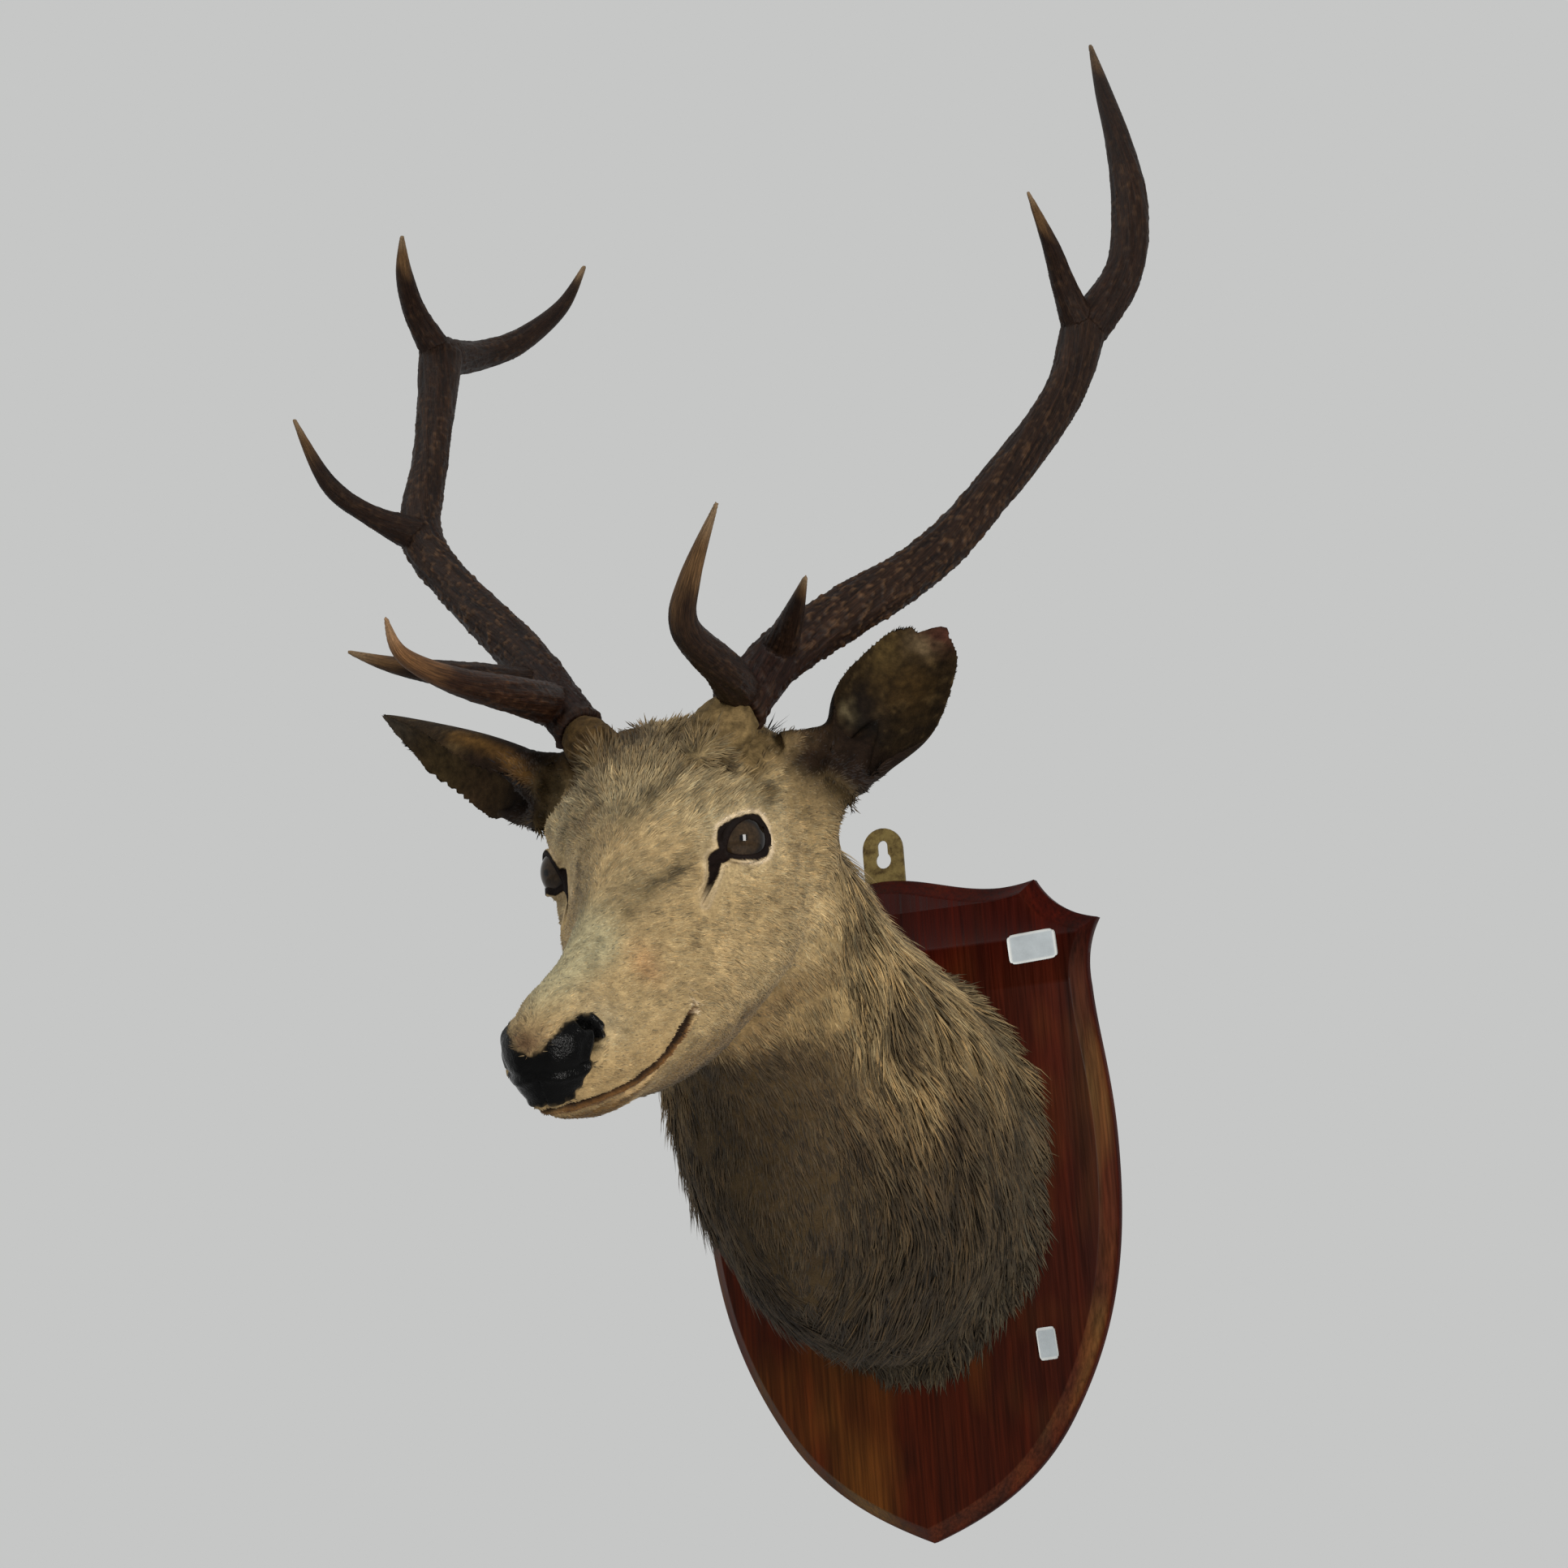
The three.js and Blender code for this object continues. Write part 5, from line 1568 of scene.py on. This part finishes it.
def cut_box(thing, low, high):
    """Cuts a box out of a mesh."""
    x, y, z = zip(low, high)
    corners = np.array([[x[i], y[j], z[k]] for i in (0, 1) for j in (0, 1) for k in (0, 1)], float)
    sides = np.array([[0, 1, 3, 2], [4, 6, 7, 5], [0, 4, 5, 1], [2, 3, 7, 6], [0, 2, 6, 4], [1, 5, 7, 3]])
    box = make_mesh("cutter", corners, sides)
    modifier = thing.modifiers.new("recess", "BOOLEAN")
    modifier.operation, modifier.solver, modifier.object = "DIFFERENCE", "MANIFOLD", box
    made = thing.evaluated_get(bpy.context.evaluated_depsgraph_get())
    mesh = bpy.data.meshes.new_from_object(made)
    thing.modifiers.clear()
    mesh.materials.clear()
    thing.data = mesh
    bpy.data.objects.remove(box)


shield = board()
cut_box(shield, (-17.35, -2.75, 204.6), (17.35, 6, 300))
for polygon in shield.data.polygons:
    polygon.use_smooth = abs(polygon.normal.y) < 0.999
shield.data.set_sharp_from_angle(angle=math.radians(38))
at = points_of(shield.data)
chamfer_band = step(-22.3, -21.4, at[:, 1]) * step(-9, -12, at[:, 1])
low_left = step(60, -160, at[:, 2]) * step(80, -60, at[:, 0])
tint = lay(np.ones((len(at), 3)), np.array([1.9, 3.4, 1.6]), low_left * (1 - chamfer_band))
# the lower part of the chamfer is tinted lighter and yellower
tint = lay(tint, np.array([2.6, 9.0, 24.0]), chamfer_band * step(205, 150, at[:, 2]) * 0.8)
set_colour(shield.data, "paint", tint)
finish_piece(shield, board_material(), ("board",))


def dress(node, material, slot, width):
    """A CAD node shown as it is, with its edges eased."""
    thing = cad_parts[node]
    thing.data.materials.clear()
    thing.data.materials.append(material)
    ease = thing.modifiers.new("ease", "BEVEL")
    ease.width, ease.segments, ease.limit_method = width / 1000, 2, "ANGLE"
    ease.angle_limit = math.radians(40)


brass = brass_material("brass_plate", (0.30, 0.22, 0.08, 1), 0.32)
dress("hanger_plate", brass, "brass_plate", 0.35)
screw_brass = brass_material("brass_screw", (0.42, 0.31, 0.11, 1), 0.26)
for node in ("plate_screw_1", "plate_screw_2"):
    dress(node, screw_brass, "brass_screw", 0.25)


def label(node, x, z, wide, high, turn):
    """Paper label that lies on the board, its corners rounded and lifted a little."""
    nx, nz = 28, 20
    u, v = np.meshgrid(np.linspace(-1, 1, nx), np.linspace(-1, 1, nz), indexing="ij")
    # squeeze a square into one with rounded corners
    squeeze = 1 - 0.12 * (np.abs(u) ** 8) * (np.abs(v) ** 8)
    px, pz = u * wide / 2 * squeeze, v * high / 2 * squeeze
    a = math.radians(turn)
    curl = 0.35 * (np.abs(u) ** 6 + np.abs(v) ** 6) / 2
    verts = []
    for face in (0, 1):
        y = BOARD_FACE - 0.3 - curl - 0.3 * face
        verts.append(np.stack([x + px * math.cos(a) - pz * math.sin(a), y,
                               z + px * math.sin(a) + pz * math.cos(a)], -1).reshape(-1, 3))
    i, j = np.meshgrid(np.arange(nx - 1), np.arange(nz - 1), indexing="ij")
    sheet = np.stack([i * nz + j, (i + 1) * nz + j, (i + 1) * nz + j + 1, i * nz + j + 1], -1).reshape(-1, 4)
    count = nx * nz
    rim = np.array([*range(0, nz - 1), *range(nz - 1, count - 1, nz), *range(count - 1, count - nz, -1),
                    *range(count - nz, 0, -nz)])
    nxt = np.roll(rim, -1)
    wall = np.stack([rim, nxt, nxt + count, rim + count], -1)
    thing = make_mesh(f"{node}_paper", np.concatenate(verts), [sheet[:, ::-1], sheet + count, wall])
    inner = step(0.92, 0.84, np.maximum(np.abs(u), np.abs(v))).ravel()
    c = lay(np.tile(tone(205, 208, 206), (count, 1)), tone(168, 176, 180), inner)
    set_colour(thing.data, "paint", np.clip(np.concatenate([c, c]), 0, 0.85))
    finish_piece(thing, paper, (node,))


paper = paper_material()
label("label_upper", 123.5, 185.2, 39, 23, 3)
label("label_lower", 107.6, -112, 15, 24, 4)


# ------------------------------------------------------------------ floor, light and camera
def pale(name, value):
    s = Shader(name, Roughness=0.9, Specular_IOR_Level=0.1)
    s.colour(s.mix(s.noise(s.place(), 3, 3, 0.5), grey(value * 0.97), grey(value)))
    return s.material


floor = make_mesh("floor", np.array([[-6000, -6000, -1000], [6000, -6000, -1000], [6000, 6000, -1000],
                                     [-6000, 6000, -1000]], float), np.array([[0, 1, 2, 3]]))
floor.data.materials.append(pale("floor", 0.6))


def area(name, place, aim, wide, high, power, colour):
    data = bpy.data.lights.new(name, "AREA")
    data.shape, data.size, data.size_y, data.energy, data.color = "RECTANGLE", wide, high, power, colour
    thing = bpy.data.objects.new(name, data)
    bpy.context.scene.collection.objects.link(thing)
    thing.location = place
    thing.rotation_euler = (Vector(aim) - Vector(place)).to_track_quat("-Z", "Y").to_euler()


area("window", (1.83, -1.81, 0.265), (0.02, -0.3, 0.1), 0.42, 0.95, 43, (1.0, 0.97, 0.93))
area("top", (-1.1, -2.1, 2.6), (0.02, -0.3, 0.1), 1.4, 1.4, 36, (1.0, 0.99, 0.98))

world = bpy.data.worlds.new("pale")
bpy.context.scene.world = world
world.use_nodes = True
world.node_tree.nodes["Background"].inputs["Color"].default_value = (0.565, 0.57, 0.565, 1)
world.node_tree.nodes["Background"].inputs["Strength"].default_value = 1.0
bpy.context.scene.view_settings.view_transform = "Standard"

camera = bpy.data.objects.new("camera", bpy.data.cameras.new("camera"))
bpy.context.scene.collection.objects.link(camera)
RIGHT, UP, AHEAD = (0.91298, 0.40168, -0.07156), (0.14246, -0.14949, 0.97845), (-0.38233, 0.9035, 0.19371)
turned = Matrix([RIGHT, UP, [-v for v in AHEAD]]).transposed().to_4x4()
camera.matrix_world = Matrix.Translation((0.7686, -2.0093, -0.0854)) @ turned
SENSOR_MM, FOCAL_PIXELS, PHOTO_PIXELS = 36, 3374.711, 1932
camera.data.sensor_width = SENSOR_MM
camera.data.lens = SENSOR_MM * FOCAL_PIXELS / PHOTO_PIXELS
camera.data.clip_end = 50
bpy.context.scene.camera = camera
